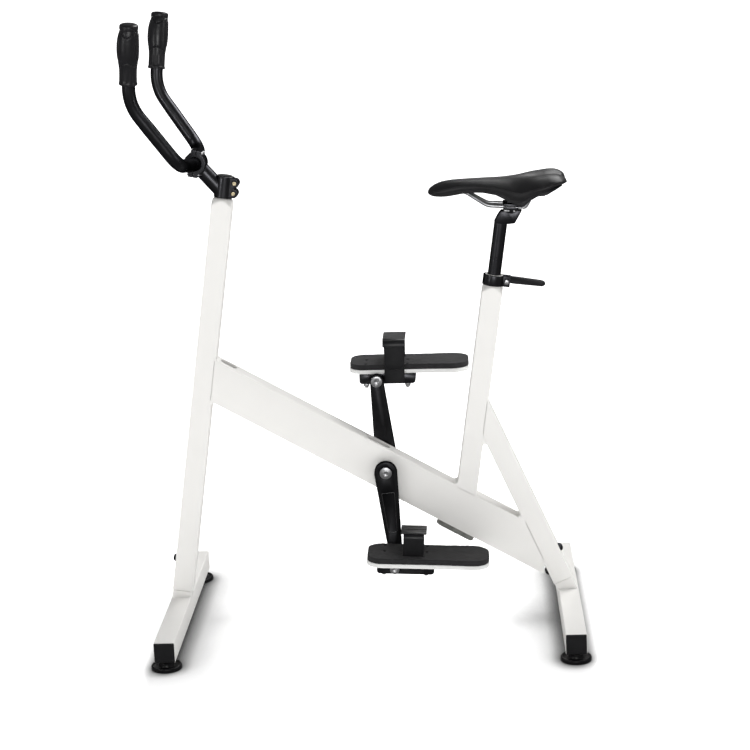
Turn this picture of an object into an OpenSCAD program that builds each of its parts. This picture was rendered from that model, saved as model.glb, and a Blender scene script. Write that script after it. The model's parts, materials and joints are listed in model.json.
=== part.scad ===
// Underwater exercise bicycle: a welded square-tube frame on two cross feet,
// with a swept handlebar on a clamp stem, a saddle on a sliding post and a
// crank set with strapped foot plates.
// Millimetres. +Z up, floor at z = 0, handlebar end towards -X, saddle end
// towards +X, rider's left towards -Y. x = 0 lies midway between the feet.

/* [Frame tubes] */
// Side of the square frame tubes
tube = 40; // [38:1:42]
// Wall of the square frame tubes
wall = 2; // [1.5:0.5:3]
// Height of the main beam's section
beam_h = 80; // [76:1:84]
// Lean of the front post from vertical, in degrees
post_lean = 9; // [8:0.5:10]
// Length of the front post
post_len = 800; // [780:5:820]
// Slope of the main beam, in degrees
beam_slope = 30; // [29:0.5:31]
// Lean of the seat tube from vertical, in degrees
seat_lean = 8.5; // [8:0.5:9]
// Length of the seat tube up to its shoulder
seat_len = 413; // [400:1:425]
// Lean of the rear strut from vertical, in degrees
strut_lean = 23.5; // [23:0.5:24]

/* [Feet] */
// Length of each cross foot
foot_len = 530; // [500:10:560]
// Distance of each cross foot from the middle, along X
foot_x = 389.35; // [380:0.05:400]
// Height of the underside of the cross feet
foot_z = 17.6; // [15:0.1:22]
// Sideways distance of the levelling feet
pad_y = 246; // [235:1:248]
// Radius of a levelling foot's disc
pad_r = 29.3; // [25:0.1:32]
// Radius of a levelling foot's stud
stud_r = 5; // [4:0.5:5.5]

/* [Stem and handlebar] */
// Radius of the steerer tube
steerer_r = 14.3; // [14:0.1:14.5]
// Radius of the handlebar at the clamp and along the arms
bar_r = 12.7; // [12.5:0.1:12.9]
// Radius of the handlebar under the grips
grip_bar_r = 11.1; // [10.5:0.1:11.5]
// Radius of the grips at the waist
grip_r = 15.8; // [15:0.1:16]

/* [Saddle and post] */
// Radius of the seat post
post_r = 12.7; // [12.5:0.1:12.8]
// Saddle half-width at its widest
saddle_w = 75; // [68:1:80]
// Spacing of the saddle rails from the middle
rail_y = 22; // [21:0.5:23]

/* [Crank and pedals] */
// Length of the cranks
crank_len = 170; // [165:1:175]
// Turn of the cranks from vertical, in degrees
crank_turn = 4.8; // [0:0.1:10]
// Tilt of the left foot plate, in degrees
left_tilt = 3; // [0:0.1:6]
// Tilt of the right foot plate, in degrees
right_tilt = 0.4; // [0:0.1:6]
// Width of the foot plates
pedal_w = 95; // [90:1:98]
// Height of the left strap's loop above the pedal axle
left_strap_h = 66; // [62:1:78]
// Height of the right strap's loop above the pedal axle
right_strap_h = 77; // [64:1:80]
// Radial clearance of the turning and sliding fits
fit = 0.05; // [0.02:0.01:0.09]

/* [Hidden] */
$fn = 48;

frame_c = [0.92, 0.915, 0.9];
black_c = [0.07, 0.07, 0.075];
steel_c = [0.75, 0.75, 0.76];
brass_c = [0.8, 0.68, 0.45];
anode_c = [0.33, 0.33, 0.31];

// Datum points in the middle plane
post_p = [-386, 0, 72.2];
crank_p = [33.5, 0, 313.8];
seat_p = [192.1, 0, 268.7];
strut_p = [378.8, 0, 76];
stem_s = 822.4;             // middle of the stem's clamp, along the post
bar_p = [-309.5, 0, 932];   // middle of the handlebar's clamp
stem_rise = 49.5;           // rise of the stem's arm
plate_rise = 12;            // rise of the direction that the face plate looks in
cradle_p = [290.5, 0, 831]; // middle of the rails' clamp
rail_dip = 4.7;             // dip of the rails' clamped stretch
foot_top = foot_z + tube;
big = 1200;

// ---- frames of the leaning members: local Z runs along each one ----
module at_post() translate(post_p) rotate([0, post_lean, 0]) children();
module at_beam() translate(crank_p) rotate([0, beam_slope, 0]) children();
module at_seat() translate(seat_p) rotate([0, seat_lean, 0]) children();
module at_strut() translate(strut_p) rotate([0, -strut_lean, 0]) children();
module at_cradle() translate(cradle_p) rotate([0, rail_dip, 0]) children();
// local X runs from the clamp towards its face plate, along the bolts
module at_bar() translate(bar_p) rotate([0, -(180 - plate_rise), 0]) children();

// ---- shapes that repeat ----
// a bar of square section along local Z
module sq(s, z0, z1) translate([-s / 2, -s / 2, z0]) cube([s, s, z1 - z0]);
// a hollow square tube along local Z
module sq_tube(s, t, z0, z1) difference() { sq(s, z0, z1); sq(s - 2 * t, z0 - 1, z1 + 1); }
// a profile drawn in X and Z, as deep as y0 to y1
module slab(y0, y1) translate([0, y1, 0]) rotate([90, 0, 0]) linear_extrude(y1 - y0) children();
// a profile drawn in Y and Z, as long as x0 to x1
module slab_x(x0, x1) translate([x0, 0, 0]) rotate([90, 0, 90]) linear_extrude(x1 - x0) children();
// a cylinder along Y
module cyl_y(r, y0, y1) translate([0, y1, 0]) rotate([90, 0, 0]) cylinder(r = r, h = y1 - y0);
// a hexagon head or nut along local Z, of the given size across its flats
module hex(af, z0, z1) translate([0, 0, z0]) cylinder(r = af / sqrt(3), h = z1 - z0, $fn = 6);
// a low domed bolt head, standing along local Z
module dome(r, h) rotate_extrude() polygon(concat([[0, 0], [r, 0]],
  [for (a = [0 : 10 : 90]) [r * cos(a), h * 0.25 + h * 0.75 * sin(a)]]));
// the domed head with its hexagon socket, and its shank below
module dome_bolt(r, h, shank_r, shank) difference() {
  union() { dome(r, h); translate([0, 0, -shank]) cylinder(r = shank_r, h = shank + 0.5); }
  translate([0, 0, h * 0.35]) hex(r * 0.62, 0, h);
}
// a straight round bar between two points
module rod(a, b, r0, r1) {
  d = b - a; l = norm(d);
  translate(a) rotate([0, acos(d[2] / l), atan2(d[1], d[0])]) cylinder(h = l, r1 = r0, r2 = r1);
}
function unit(v) = v / norm(v);
// length of bar that a bend of radius rad takes from each leg at corner b
function leg(a, b, c, rad) = let (u = unit(b - a), w = unit(c - b), t = acos(u * w)) rad * tan(t / 2);
// points of a round bend of radius rad from the leg a-b into the leg b-c, each with its direction and the bar's radius
function bend(a, b, c, rad, r, n) = let (u = unit(b - a), w = unit(c - b), t = acos(u * w), m = unit(cross(u, w)), i = cross(u, m),
  o = b - u * rad * tan(t / 2) - i * rad)
  [for (k = [0 : n]) let (f = t * k / n) [o + rad * (cos(f) * i + sin(f) * u), -sin(f) * i + cos(f) * u, r]];
// a bar swept along such points: solid, or a tube of the given wall
module sweep(p, ref, n, wall = 0) {
  m = len(p); q = wall > 0 ? 2 * n : n;
  function ring(e, d) = let (a = unit(cross(ref, e[1])), b = cross(e[1], a))
    [for (k = [0 : n - 1]) let (f = 360 * k / n) e[0] + (e[2] - d) * (cos(f) * a + sin(f) * b)];
  pts = [for (e = p) each (wall > 0 ? concat(ring(e, 0), ring(e, wall)) : ring(e, 0))];
  out = [for (i = [0 : m - 2]) for (k = [0 : n - 1]) let (j = (k + 1) % n) each
    [[i * q + k, (i + 1) * q + k, (i + 1) * q + j], [i * q + k, (i + 1) * q + j, i * q + j]]];
  z = (m - 1) * q;
  rest = wall > 0 ? concat(
      [for (i = [0 : m - 2]) for (k = [0 : n - 1]) let (j = (k + 1) % n) each
        [[i * q + n + k, (i + 1) * q + n + j, (i + 1) * q + n + k], [i * q + n + k, i * q + n + j, (i + 1) * q + n + j]]],
      [for (k = [0 : n - 1]) let (j = (k + 1) % n) each [[k, j, n + j], [k, n + j, n + k], [z + k, z + n + j, z + j], [z + k, z + n + k, z + n + j]]])
    : [[for (k = [0 : n - 1]) k], [for (k = [n - 1 : -1 : 0]) z + k]];
  polyhedron(points = pts, faces = concat(out, rest));
}
// points of a rounded corner of radius r about c, from angle a0 to a1
function arc(c, r, a0, a1, n = 6) = [for (k = [0 : n]) let (a = a0 + (a1 - a0) * k / n) c + r * [cos(a), sin(a)]];

// ================= welded frame =================
// cone that rounds a square tube's top off towards its neck
module top_cone(z1) { rotate_extrude($fn = 96) polygon([[0, -1], [60, -1], [60, z1 - 46.1], [28.5, z1 - 14.2], [17.5, z1], [0, z1]]); }

module front_post() color(frame_c) at_post() difference() {
  intersection() { sq(tube, 0, post_len); top_cone(post_len); }
  sq(tube - 2 * wall, -1, post_len - 22);
  translate([0, 0, post_len - 30]) cylinder(r = steerer_r, h = 40);
  translate([-tube / 2 - 1, 0, 62]) rotate([0, 90, 0]) cylinder(r = 4.2, h = 8);
}

module main_beam() color(frame_c) difference() {
  at_beam() difference() {
    translate([-500, -tube / 2, -beam_h / 2]) cube([1000, tube, beam_h]);
    translate([-501, -tube / 2 + wall, -beam_h / 2 + wall]) cube([1002, tube - 2 * wall, beam_h - 2 * wall]);
    // the two filling slots in the upper face
    for (s = [[-371.5, 36], [-39.5, 53]]) translate([s[0], 0, beam_h / 2 - wall - 1]) slot_cut(s[1], 22, wall + 2);
    // the bottom bracket shell passes through both sides
    cyl_y(20, -tube, tube);
    // tapped holes of the anode
    for (x = [150.5, 211.5]) translate([x, 0, -beam_h / 2 - 1]) cylinder(r = 2.5, h = wall + 2);
  }
  at_post() translate([-big, -100, -big]) cube([big + tube / 2, 200, 2 * big]);
  at_strut() translate([-tube / 2, -100, -big]) cube([big, 200, 2 * big]);
  translate([341, -100, 0]) cube([big, 200, 400]);
}
module slot_cut(l, w, h) {
  translate([-(l - w) / 2, -w / 2, 0]) cube([l - w, w, h]);
  for (s = [-1, 1]) translate([s * (l - w) / 2, 0, 0]) cylinder(r = w / 2, h = h);
}

module seat_tube() color(frame_c) difference() {
  at_seat() difference() {
    union() {
      intersection() { sq(tube, -40, seat_len); top_cone(seat_len); }
      cylinder(r = 17.5, h = seat_len + 21, $fn = 96);
    }
    sq(tube - 2 * wall, -60, seat_len - 22);
    cylinder(r = 14.5, h = seat_len + 30);
    // the slit that lets the neck close on the post
    translate([0, -1.5, seat_len - 10]) cube([30, 3, 40]);
  }
  at_beam() translate([-500, -100, beam_h / 2 - 400]) cube([1000, 200, 400]);
}

module rear_strut() color(frame_c) difference() {
  at_strut() difference() {
    sq_tube(tube, wall, 0, 520);
    translate([tube / 2 - 8, 0, 60.7]) rotate([0, 90, 0]) cylinder(r = 4.2, h = 10);
    translate([-tube / 2 - 1, 0, 24]) rotate([0, 90, 0]) cylinder(r = 4.2, h = 8);
  }
  at_seat() translate([-big, -100, -100]) cube([big + tube / 2, 200, 800]);
}

module steerer_tube() color(frame_c) at_post() difference() {
  translate([0, 0, 700]) cylinder(r = steerer_r, h = stem_s + 21 - 700);
  translate([0, 0, 699]) cylinder(r = 11, h = 200);
}
module steerer_support() color(frame_c) at_post() difference() {
  sq(tube - 2 * wall, 708, 716);
  translate([0, 0, 700]) cylinder(r = steerer_r, h = 30);
}
module steerer_cap() color(black_c) at_post() translate([0, 0, stem_s + 21]) {
  cylinder(r = 14, h = 1.6);
  translate([0, 0, -12]) cylinder(r = 10.9, h = 12.5);
}
module seat_tube_liner() color(black_c) at_seat() difference() {
  translate([0, 0, seat_len - 75]) cylinder(r = 14.5, h = 96);
  translate([0, 0, seat_len - 80]) cylinder(r = post_r + fit, h = 110);
}
module bottom_bracket_shell() color(frame_c) translate(crank_p) difference() {
  cyl_y(20, -24, 24);
  cyl_y(17, -30, 30);
}
module crank_bushes() color(black_c) translate(crank_p) for (s = [0, 1]) mirror([0, s, 0]) difference() {
  union() { cyl_y(17, 10, 24); cyl_y(19, 24, 26.3); }
  cyl_y(8.5 + fit, 5, 30);
}

// ---- cross feet ----
module foot_tube(sx) color(frame_c) translate([sx * foot_x, 0, foot_z + tube / 2]) difference() {
  cube([tube, foot_len, tube], center = true);
  cube([tube - 2 * wall, foot_len + 2, tube - 2 * wall], center = true);
  for (y = [-pad_y, pad_y]) translate([0, y, -tube / 2 - 1]) cylinder(r = stud_r + 0.6, h = wall + 2);
}
module front_foot_tube() foot_tube(-1);
module rear_foot_tube() foot_tube(1);

module front_spigot() color(frame_c) difference() {
  at_post() difference() {
    union() { sq(tube - 2, -40, 0); sq(tube - 2 * wall - 0.3, -1, 95); }
    sq(tube - 2 * wall - 12, -60, 96);
    translate([-tube / 2, 0, 62]) rotate([0, 90, 0]) cylinder(r = 4, h = 12);
  }
  translate([-600, -100, foot_top - 200]) cube([1200, 200, 200]);
}
module rear_spigot() color(frame_c) difference() {
  at_strut() difference() {
    union() { sq(tube - 2, -50, 0); sq(tube - 2 * wall - 0.3, -1, 90); }
    sq(tube - 2 * wall - 12, -60, 96);
    translate([tube / 2 - 12, 0, 60.7]) rotate([0, 90, 0]) cylinder(r = 4, h = 14);
    translate([-tube / 2 - 1, 0, 24]) rotate([0, 90, 0]) cylinder(r = 4, h = 14);
  }
  translate([-600, -100, foot_top - 200]) cube([1200, 200, 200]);
}
module foot_end_caps() color(black_c)
  for (x = [-1, 1]) for (s = [0, 1]) mirror([0, s, 0])
    translate([x * foot_x, foot_len / 2, foot_z + tube / 2]) difference() {
      union() {
        translate([0, -3, 0]) cube([tube - 2 * wall, 6.4, tube - 2 * wall], center = true);
        translate([0, 0.8, 0]) cube([tube - 0.8, 1.6, tube - 0.8], center = true);
      }
      translate([0, -5, 0]) cube([tube - 2 * wall - 6, 6, tube - 2 * wall - 6], center = true);
    }
// threaded nuts on the floor of the cross feet, which take the studs
module foot_nuts() color(steel_c)
  for (x = [-1, 1]) for (y = [-1, 1]) translate([x * foot_x, y * pad_y, foot_z + wall]) difference() {
    hex(17, 0, 8);
    translate([0, 0, -1]) cylinder(r = stud_r + fit, h = 12);
  }
module frame_bolts() color(black_c) {
  at_post() translate([-tube / 2, 0, 62]) rotate([0, -90, 0]) dome_bolt(8, 7, 4, 8);
  at_strut() translate([tube / 2, 0, 60.7]) rotate([0, 90, 0]) dome_bolt(8, 7, 4, 8);
  at_strut() translate([-tube / 2, 0, 24]) rotate([0, -90, 0]) dome_bolt(8, 7, 4, 8);
}
module corrosion_anode() color(anode_c) at_beam() difference() {
  translate([181, 0, -beam_h / 2 - 12]) slot_cut(82, 24, 12);
  for (x = [150.5, 211.5]) translate([x, 0, -beam_h / 2 - 20]) {
    cylinder(r = 2.6, h = 30);
    cylinder(r = 5.2, h = 11);
  }
}
module anode_screws() color(steel_c) at_beam() for (x = [150.5, 211.5])
  translate([x, 0, -beam_h / 2 - 9]) mirror([0, 0, 1]) difference() {
    union() { cylinder(r = 5, h = 3.6); translate([0, 0, -16]) cylinder(r = 2.5, h = 17); }
    translate([0, 0, 1.4]) hex(5, 0, 5);
  }

module levelling_foot(sx, sy) translate([sx * foot_x, sy * pad_y, 0]) {
  color(black_c) union() {
    rotate_extrude($fn = 72) polygon([[0, 0], [pad_r - 1, 0], [pad_r, 1], [pad_r, 6.6], [pad_r - 1.3, 7.9],
      [pad_r - 3.3, 7.9], [pad_r - 5.2, 6], [16, 6], [14, 8], [14, 13], [0, 13]]);
    cylinder(r = stud_r, h = foot_z + 34);
  }
}
module levelling_foot_front_left() levelling_foot(-1, -1);
module levelling_foot_front_right() levelling_foot(-1, 1);
module levelling_foot_rear_left() levelling_foot(1, -1);
module levelling_foot_rear_right() levelling_foot(1, 1);

// ================= stem =================
module stem_body() color(black_c) difference() {
  union() {
    at_post() translate([0, 0, stem_s]) {
      translate([0, 0, -21]) cylinder(r = 18, h = 42);
      // the two ears behind, each round its own bolt
      for (z = [-9.8, 9.8]) translate([20, 0, z]) cyl_y(8.6, -14, 14);
      translate([0, -14, -18.4]) cube([20, 28, 36.8]);
    }
    rod(bar_p + 73 * [cos(stem_rise), 0, -sin(stem_rise)], bar_p, 15.2, 15.2);
    at_bar() {
      cyl_y(21.5, -20, 20);
      for (z = [-1, 1]) translate([-9, -20, z > 0 ? 12 : -26]) cube([9, 40, 14]);
    }
  }
  // bore of the steerer, its slit and its pinch bolts
  at_post() translate([0, 0, stem_s]) {
    translate([0, 0, -60]) cylinder(r = steerer_r + fit, h = 120);
    translate([8, -1.5, -40]) cube([40, 3, 80]);
    for (z = [-9.8, 9.8]) translate([20, 0, z]) { cyl_y(2.6, -30, 30); cyl_y(4.6, -30, -10.5); }
  }
  // bore of the handlebar, and the half that the face plate takes
  at_bar() {
    cyl_y(bar_r + fit, -40, 40);
    translate([0, -40, -40]) cube([60, 80, 80]);
    for (z = [-20.5, 20.5]) for (y = [-11, 11]) translate([-20, y, z]) rotate([0, 90, 0]) cylinder(r = 2.5, h = 40);
  }
}
module stem_pinch_bolts() color(brass_c) at_post() translate([0, 0, stem_s]) for (z = [-9.8, 9.8])
  translate([20, 0, z]) difference() {
    union() { cyl_y(2.6, -11, 13.5); cyl_y(3.7, -15.2, -10.5); }
    translate([0, -12.8, 0]) rotate([90, 0, 0]) hex(4, 0, 5);
  }
module stem_face_plate() color(black_c) at_bar() difference() {
  union() {
    cyl_y(21.5, -20, 20);
    for (z = [12, -26]) translate([0, -20, z]) cube([9, 40, 14]);
  }
  cyl_y(bar_r + fit, -40, 40);
  translate([-60, -40, -40]) cube([60.6, 80, 80]);
  for (z = [-20.5, 20.5]) for (y = [-11, 11]) translate([-20, y, z]) rotate([0, 90, 0]) {
    cylinder(r = 2.6, h = 60);
    translate([0, 0, 26]) cylinder(r = 4.6, h = 30);
  }
}
module face_plate_bolts() color(steel_c) at_bar()
  for (z = [-20.5, 20.5]) for (y = [-11, 11]) translate([0, y, z]) rotate([0, 90, 0]) difference() {
    union() { translate([0, 0, -12]) cylinder(r = 2.5, h = 19); translate([0, 0, 6]) cylinder(r = 4.4, h = 5.4); }
    translate([0, 0, 8.4]) hex(4, 0, 5);
  }

// ================= handlebar =================
// corners of one side's bar: clamp, start of the sweep, elbow, upper elbow, grip's end
hb = [[-309.5, 0, 932], [-309.5, 34, 932], [-321, 140.4, 944.4], [-402.7, 165.6, 1063.7], [-388.6, 187.6, 1207]];
bend_1 = 60; bend_2 = 37; bend_3 = 89;
bar_mid = hb[1][1] - leg(hb[0], hb[1], hb[2], bend_1);   // half-length of the straight middle
hb_e2 = hb[3] - unit(hb[3] - hb[2]) * leg(hb[2], hb[3], hb[4], bend_3);
bar_path = concat([[[hb[0][0], bar_mid - 1, hb[0][2]], [0, 1, 0], bar_r + 0.22]], bend(hb[0], hb[1], hb[2], bend_1, bar_r + 0.1, 3), bend(hb[1], hb[2], hb[3], bend_2, bar_r, 7),
  [[hb_e2 - unit(hb[3] - hb[2]) * 24, unit(hb[3] - hb[2]), bar_r]],
  bend(hb[2], hb[3], hb[4], bend_3, grip_bar_r, 7), [[hb[4], unit(hb[4] - hb[3]), grip_bar_r]]);
module handlebar() color(black_c) {
  translate([hb[0][0], 0, hb[0][2]]) difference() { cyl_y(bar_r, -bar_mid - 0.4, bar_mid + 0.4); cyl_y(bar_r - 1.9, -60, 60); }
  for (s = [0, 1]) mirror([0, s, 0]) sweep(bar_path, [1, 0, 0], 18, 2.25);
}
module grip() {
  d = hb[4] - hb[3]; l = norm(d);
  translate(hb[4]) rotate([0, acos(d[2] / l), atan2(d[1], d[0])]) difference() {
    rotate_extrude() polygon([[0, -109], [grip_r + 0.9, -109], [grip_r + 0.9, -106], [grip_r, -104],
      [grip_r, -86], [grip_r + 1.2, -72], [grip_r + 3.8, -50], [grip_r + 3.8, -36], [grip_r + 1.8, -16],
      [grip_r + 0.7, -8], [grip_r + 1.4, -6], [grip_r + 1.4, 1.4], [grip_r - 0.6, 2.6], [0, 2.6]]);
    translate([0, 0, -120]) cylinder(r = grip_bar_r, h = 120);
  }
}
module left_grip() color(black_c) mirror([0, 1, 0]) grip();
module right_grip() color(black_c) grip();

// ================= seat clamp =================
module seat_collar() color(black_c) at_seat() difference() {
  union() {
    translate([0, 0, seat_len]) cylinder(r = 21, h = 20.5, $fn = 96);
    translate([12, -11, seat_len]) cube([20, 22, 20.5]);
  }
  translate([0, 0, seat_len - 1]) cylinder(r = 17.5, h = 30, $fn = 96);
  translate([10, -1.5, seat_len - 1]) cube([40, 3, 30]);
  translate([25.5, 0, seat_len + 10]) cyl_y(3.1, -30, 30);
}
module collar_skewer() color(steel_c) at_seat() translate([25.5, 0, seat_len + 10]) difference() {
  union() {
    cyl_y(2.6, -13, 17);
    cyl_y(4.5, -15.5, -11);
    translate([0, 19, -3]) cylinder(r = 5.2, h = 6);
  }
  translate([0, 19, -20]) cylinder(r = 2.5, h = 40);
}
// cam barrel and lever, turning about a pin that is parallel to the seat tube
module collar_lever() color(black_c) at_seat() translate([25.5, 19, seat_len + 10]) {
  difference() {
    union() {
      translate([0, 0, -8]) cylinder(r = 7.4, h = 16);
      slab(-4.6, 4.6) polygon([[2, -6.6], [20, -6.8], [70, -5.8], [75.5, -3], [76.5, 0.5], [74, 4.6], [68, 6], [20, 7.2], [2, 7.4]]);
    }
    // the fork round the skewer's eye
    translate([0, 0, -3.3]) cylinder(r = 8, h = 6.6);
  }
  translate([0, 0, -7]) cylinder(r = 2.5 - fit, h = 14);
}

// ================= seat post and saddle =================
module seat_post() color(black_c) at_seat() difference() {
  translate([0, 0, seat_len - 149]) cylinder(r = post_r, h = 271);
  translate([0, 0, seat_len - 150]) cylinder(r = post_r - 2.2, h = 262);
}
module seat_post_head() color(black_c) difference() {
  slab(-13.5, 13.5) polygon([[258.4, 799.8], [283.6, 796], [297.8, 797.4], [311.9, 821.6],
    [272, 821.6], [268.3, 817.4], [262.5, 808]]);
  at_seat() translate([0, 0, seat_len]) cylinder(r = post_r, h = 122);
  at_cradle() cyl_y(12.3, -40, 40);
  // room for the bolt to swing with the saddle's tilt
  at_cradle() slab(-3.6, 3.6) polygon([[-4, 0], [4, 0], [14, -60], [-14, -60]]);
  at_cradle() slab(-5.2, 5.2) polygon([[-10.2, -27.6], [10.2, -27.6], [15.5, -60], [-15.5, -60]]);
}
module rail_grooves() for (s = [-1, 1]) translate([-60, s * rail_y, 0]) rotate([0, 90, 0]) cylinder(r = 3.5 + fit, h = 120);
module lower_rail_cradle() color(black_c) at_cradle() difference() {
  union() {
    intersection() { cyl_y(12, -27, 27); translate([-20, -30, -20]) cube([40, 60, 19.7]); }
    translate([-14.5, -27, -5]) cube([29, 54, 4.7]);
  }
  rail_grooves();
  translate([0, 0, -30]) cylinder(r = 3.1, h = 60);
}
module upper_rail_cradle() color(black_c) at_cradle() difference() {
  union() {
    translate([-14.5, -27, 0.3]) cube([29, 54, 5.4]);
    intersection() { translate([0, 0, 0]) cyl_y(10.5, -15, 15); translate([-20, -30, 0.3]) cube([40, 60, 30]); }
  }
  rail_grooves();
  translate([0, 0, -30]) cylinder(r = 3.1, h = 60);
}
module cradle_bolt() color(steel_c) at_cradle() difference() {
  union() {
    translate([0, 0, -30]) cylinder(r = 3, h = 44);
    translate([0, 0, -32.5]) cylinder(r = 4.6, h = 4);
    hex(10, 10.5, 14.5);
  }
  translate([0, 0, -33.5]) hex(5, 0, 3);
}

// saddle sections: place along X, half-width, crown height, skirt height
sad_x = [134, 140, 150, 168, 195, 232, 262, 284, 300, 314, 326, 340, 358, 375, 387, 395];
function sad_w(x) = lookup(x, [[134, 6], [140, 15], [150, 19], [168, 21], [195, 23], [232, 28], [262, 38],
  [284, 50], [300, 59], [314, 66], [326, 70], [340, 73], [358, saddle_w], [375, saddle_w - 3], [387, saddle_w - 13], [395, saddle_w - 29]]);
function sad_t(x) = lookup(x, [[134, 863], [140, 871], [150, 876.5], [168, 882], [195, 884], [232, 885.4], [262, 885.4],
  [300, 888], [340, 891.5], [358, 892.5], [375, 892], [387, 888], [395, 878]]);
function sad_b(x) = lookup(x, [[134, 858], [140, 857], [150, 856], [168, 856], [195, 861], [232, 861], [262, 856],
  [284, 846], [300, 839], [314, 837], [326, 848], [340, 856], [358, 859], [375, 868], [387, 874], [395, 877]]);
sad_n = 12;
// thickness of the foam under the crown
function sad_d(x) = lookup(x, [[134, 6], [168, 10], [232, 12], [300, 16], [395, 16]]);
// ring of a section from one skirt over the crown to the other: g is 0 for
// the cover's outside, 1 for its underside and 2 for the underside of the base
function sad_ring(x, g) = sad_out(x, g * 3.3, g == 0 ? 0 : sad_d(x) + (g - 1) * 3);
function sad_out(x, e, d) = [for (k = [-sad_n : sad_n]) let (a = 90 * k / sad_n, s = sign(a),
  w = sad_w(x) - e, y = s * w * pow(abs(sin(a)), 0.85), zt = sad_t(x) - d, zb = sad_b(x))
  [x, y, zb + max(zt - zb, 0.6) * pow(abs(cos(a)), 0.62)]];
// a closed shell between two rings at every section
module saddle_shell(g, xs) {
  n = len(xs); m = 2 * sad_n + 1; r = 2 * m;
  pts = [for (x = xs) each concat(sad_ring(x, g), [for (k = [m - 1 : -1 : 0]) sad_ring(x, g + 1)[k]])];
  polyhedron(points = pts, faces = concat(
    [for (i = [0 : n - 2]) for (k = [0 : r - 1]) let (a = i * r + k, b = i * r + (k + 1) % r) each
      (k < m ? [[a, b, b + r], [a, b + r, a + r]] : [[a, b, a + r], [b, b + r, a + r]])],
    [for (k = [0 : m - 2]) each [[k, r - 1 - k, k + 1], [k + 1, r - 1 - k, r - 2 - k]]],
    [for (k = [0 : m - 2]) let (b = (n - 1) * r) each [[b + k, b + k + 1, b + r - 1 - k], [b + k + 1, b + r - 2 - k, b + r - 1 - k]]]));
}
module saddle_cover() color(black_c) saddle_shell(0, sad_x);
sad_xb = [for (x = sad_x) if (x > 149 && x < 388) x];
module saddle_base() color(black_c) {
  saddle_shell(1, sad_xb);
  // sockets that the rails are pressed into
  difference() {
    translate([166, -12, 857]) cube([30, 24, 9.6]);
    for (s = [0, 1]) mirror([0, s, 0]) rod(rail[0], rail[0] + 1.2 * (rail[1] - rail[0]), 3.5, 3.5);
  }
  for (s = [0, 1]) mirror([0, s, 0]) difference() {
    translate([340, rail_y - 3, 851]) cube([16, 14, 20.5]);
    rod(rail[5], rail[5] - 1.2 * (rail[5] - rail[4]), 3.5, 3.5);
  }
}
// one rail: nose socket, down to the clamped stretch, and up to the rear socket
rail = [[172, 7, 863], [204, 10, 861], [246, rail_y, cradle_p[2] + 44.5 * tan(rail_dip)], [318, rail_y, cradle_p[2] - 27.5 * tan(rail_dip)],
  [334, rail_y + 4, 857], [350, rail_y + 4, 858]];
rail_a = rail[2] + unit(rail[3] - rail[2]) * leg(rail[1], rail[2], rail[3], 30);
rail_b = rail[3] - unit(rail[3] - rail[2]) * leg(rail[2], rail[3], rail[4], 9);
module one_rail() {
  u = unit(rail_b - rail_a); r = 3.69;
  rod(rail_a + 0.5 * u, rail_b - 0.5 * u, 3.5, 3.5);
  sweep(concat([[rail[0], unit(rail[1] - rail[0]), r]], bend(rail[0], rail[1], rail[2], 30, r, 3),
    bend(rail[1], rail[2], rail[3], 30, r, 4), [[rail_a + u, u, r]]), [0, 0, 1], 12);
  sweep(concat([[rail_b - u, u, r]], bend(rail[2], rail[3], rail[4], 9, r, 5), bend(rail[3], rail[4], rail[5], 9, r, 5),
    [[rail[5], unit(rail[5] - rail[4]), r]]), [0, 1, 0], 12);
}
module saddle_rails() color(steel_c) for (s = [0, 1]) mirror([0, s, 0]) one_rail();

// ================= crank set =================
module at_crank() translate(crank_p) rotate([0, -crank_turn, 0]) children();
left_axle = crank_p + crank_len * [sin(crank_turn), 0, -cos(crank_turn)];
right_axle = crank_p - crank_len * [sin(crank_turn), 0, -cos(crank_turn)];
crank_in = 27.5; crank_out = 42.5;
hub_r = 22.5; end_r = 13;

module crank_axle() color(steel_c) at_crank() difference() {
  union() {
    cyl_y(8.5, -26.6, 26.6);
    intersection() { translate([-6.3, -38, -6.3]) cube([12.6, 76, 12.6]); cyl_y(8.2, -50, 50); }
  }
  cyl_y(3.4, -60, 60);
}
// crank arm on the +Y side, pointing towards local -Z
module crank_arm() {
  f = asin((hub_r - end_r) / crank_len); c = cos(f); s = sin(f);
  difference() {
    union() {
      cyl_y(hub_r, crank_in, crank_out);
      translate([0, 0, -crank_len]) cyl_y(end_r, crank_in, crank_out);
      slab(crank_in, crank_out) polygon([[hub_r * c, -hub_r * s], [end_r * c, -crank_len - end_r * s],
        [-end_r * c, -crank_len - end_r * s], [-hub_r * c, -hub_r * s]]);
    }
    // sunk panel on the outer face
    slab(crank_out - 1, crank_out + 1) polygon(concat(
      arc([-9.5, -43], 3, 180, 90), arc([9.5, -43], 3, 90, 0), arc([5.6, -118], 3, 0, -90), arc([-5.6, -118], 3, 270, 180)));
    translate([-6.3, 20, -6.3]) cube([12.6, 18, 12.6]);
    cyl_y(4.1, 20, 60);
    cyl_y(12.4, 39.5, 60);
    translate([0, 0, -crank_len]) cyl_y(6, 20, 60);
  }
}
module left_crank() color(black_c) at_crank() mirror([0, 1, 0]) crank_arm();
module right_crank() color(black_c) at_crank() rotate([0, 180, 0]) crank_arm();
module crank_bolts() color(steel_c) at_crank() for (s = [0, 1]) mirror([0, s, 0]) difference() {
  union() { cyl_y(3.4, 22, 40); cyl_y(12, 39.5, 41.5); cyl_y(7.5, 41.5, 44.2); }
  translate([0, 41.6, 0]) rotate([-90, 0, 0]) hex(8, 0, 6);
}
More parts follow.
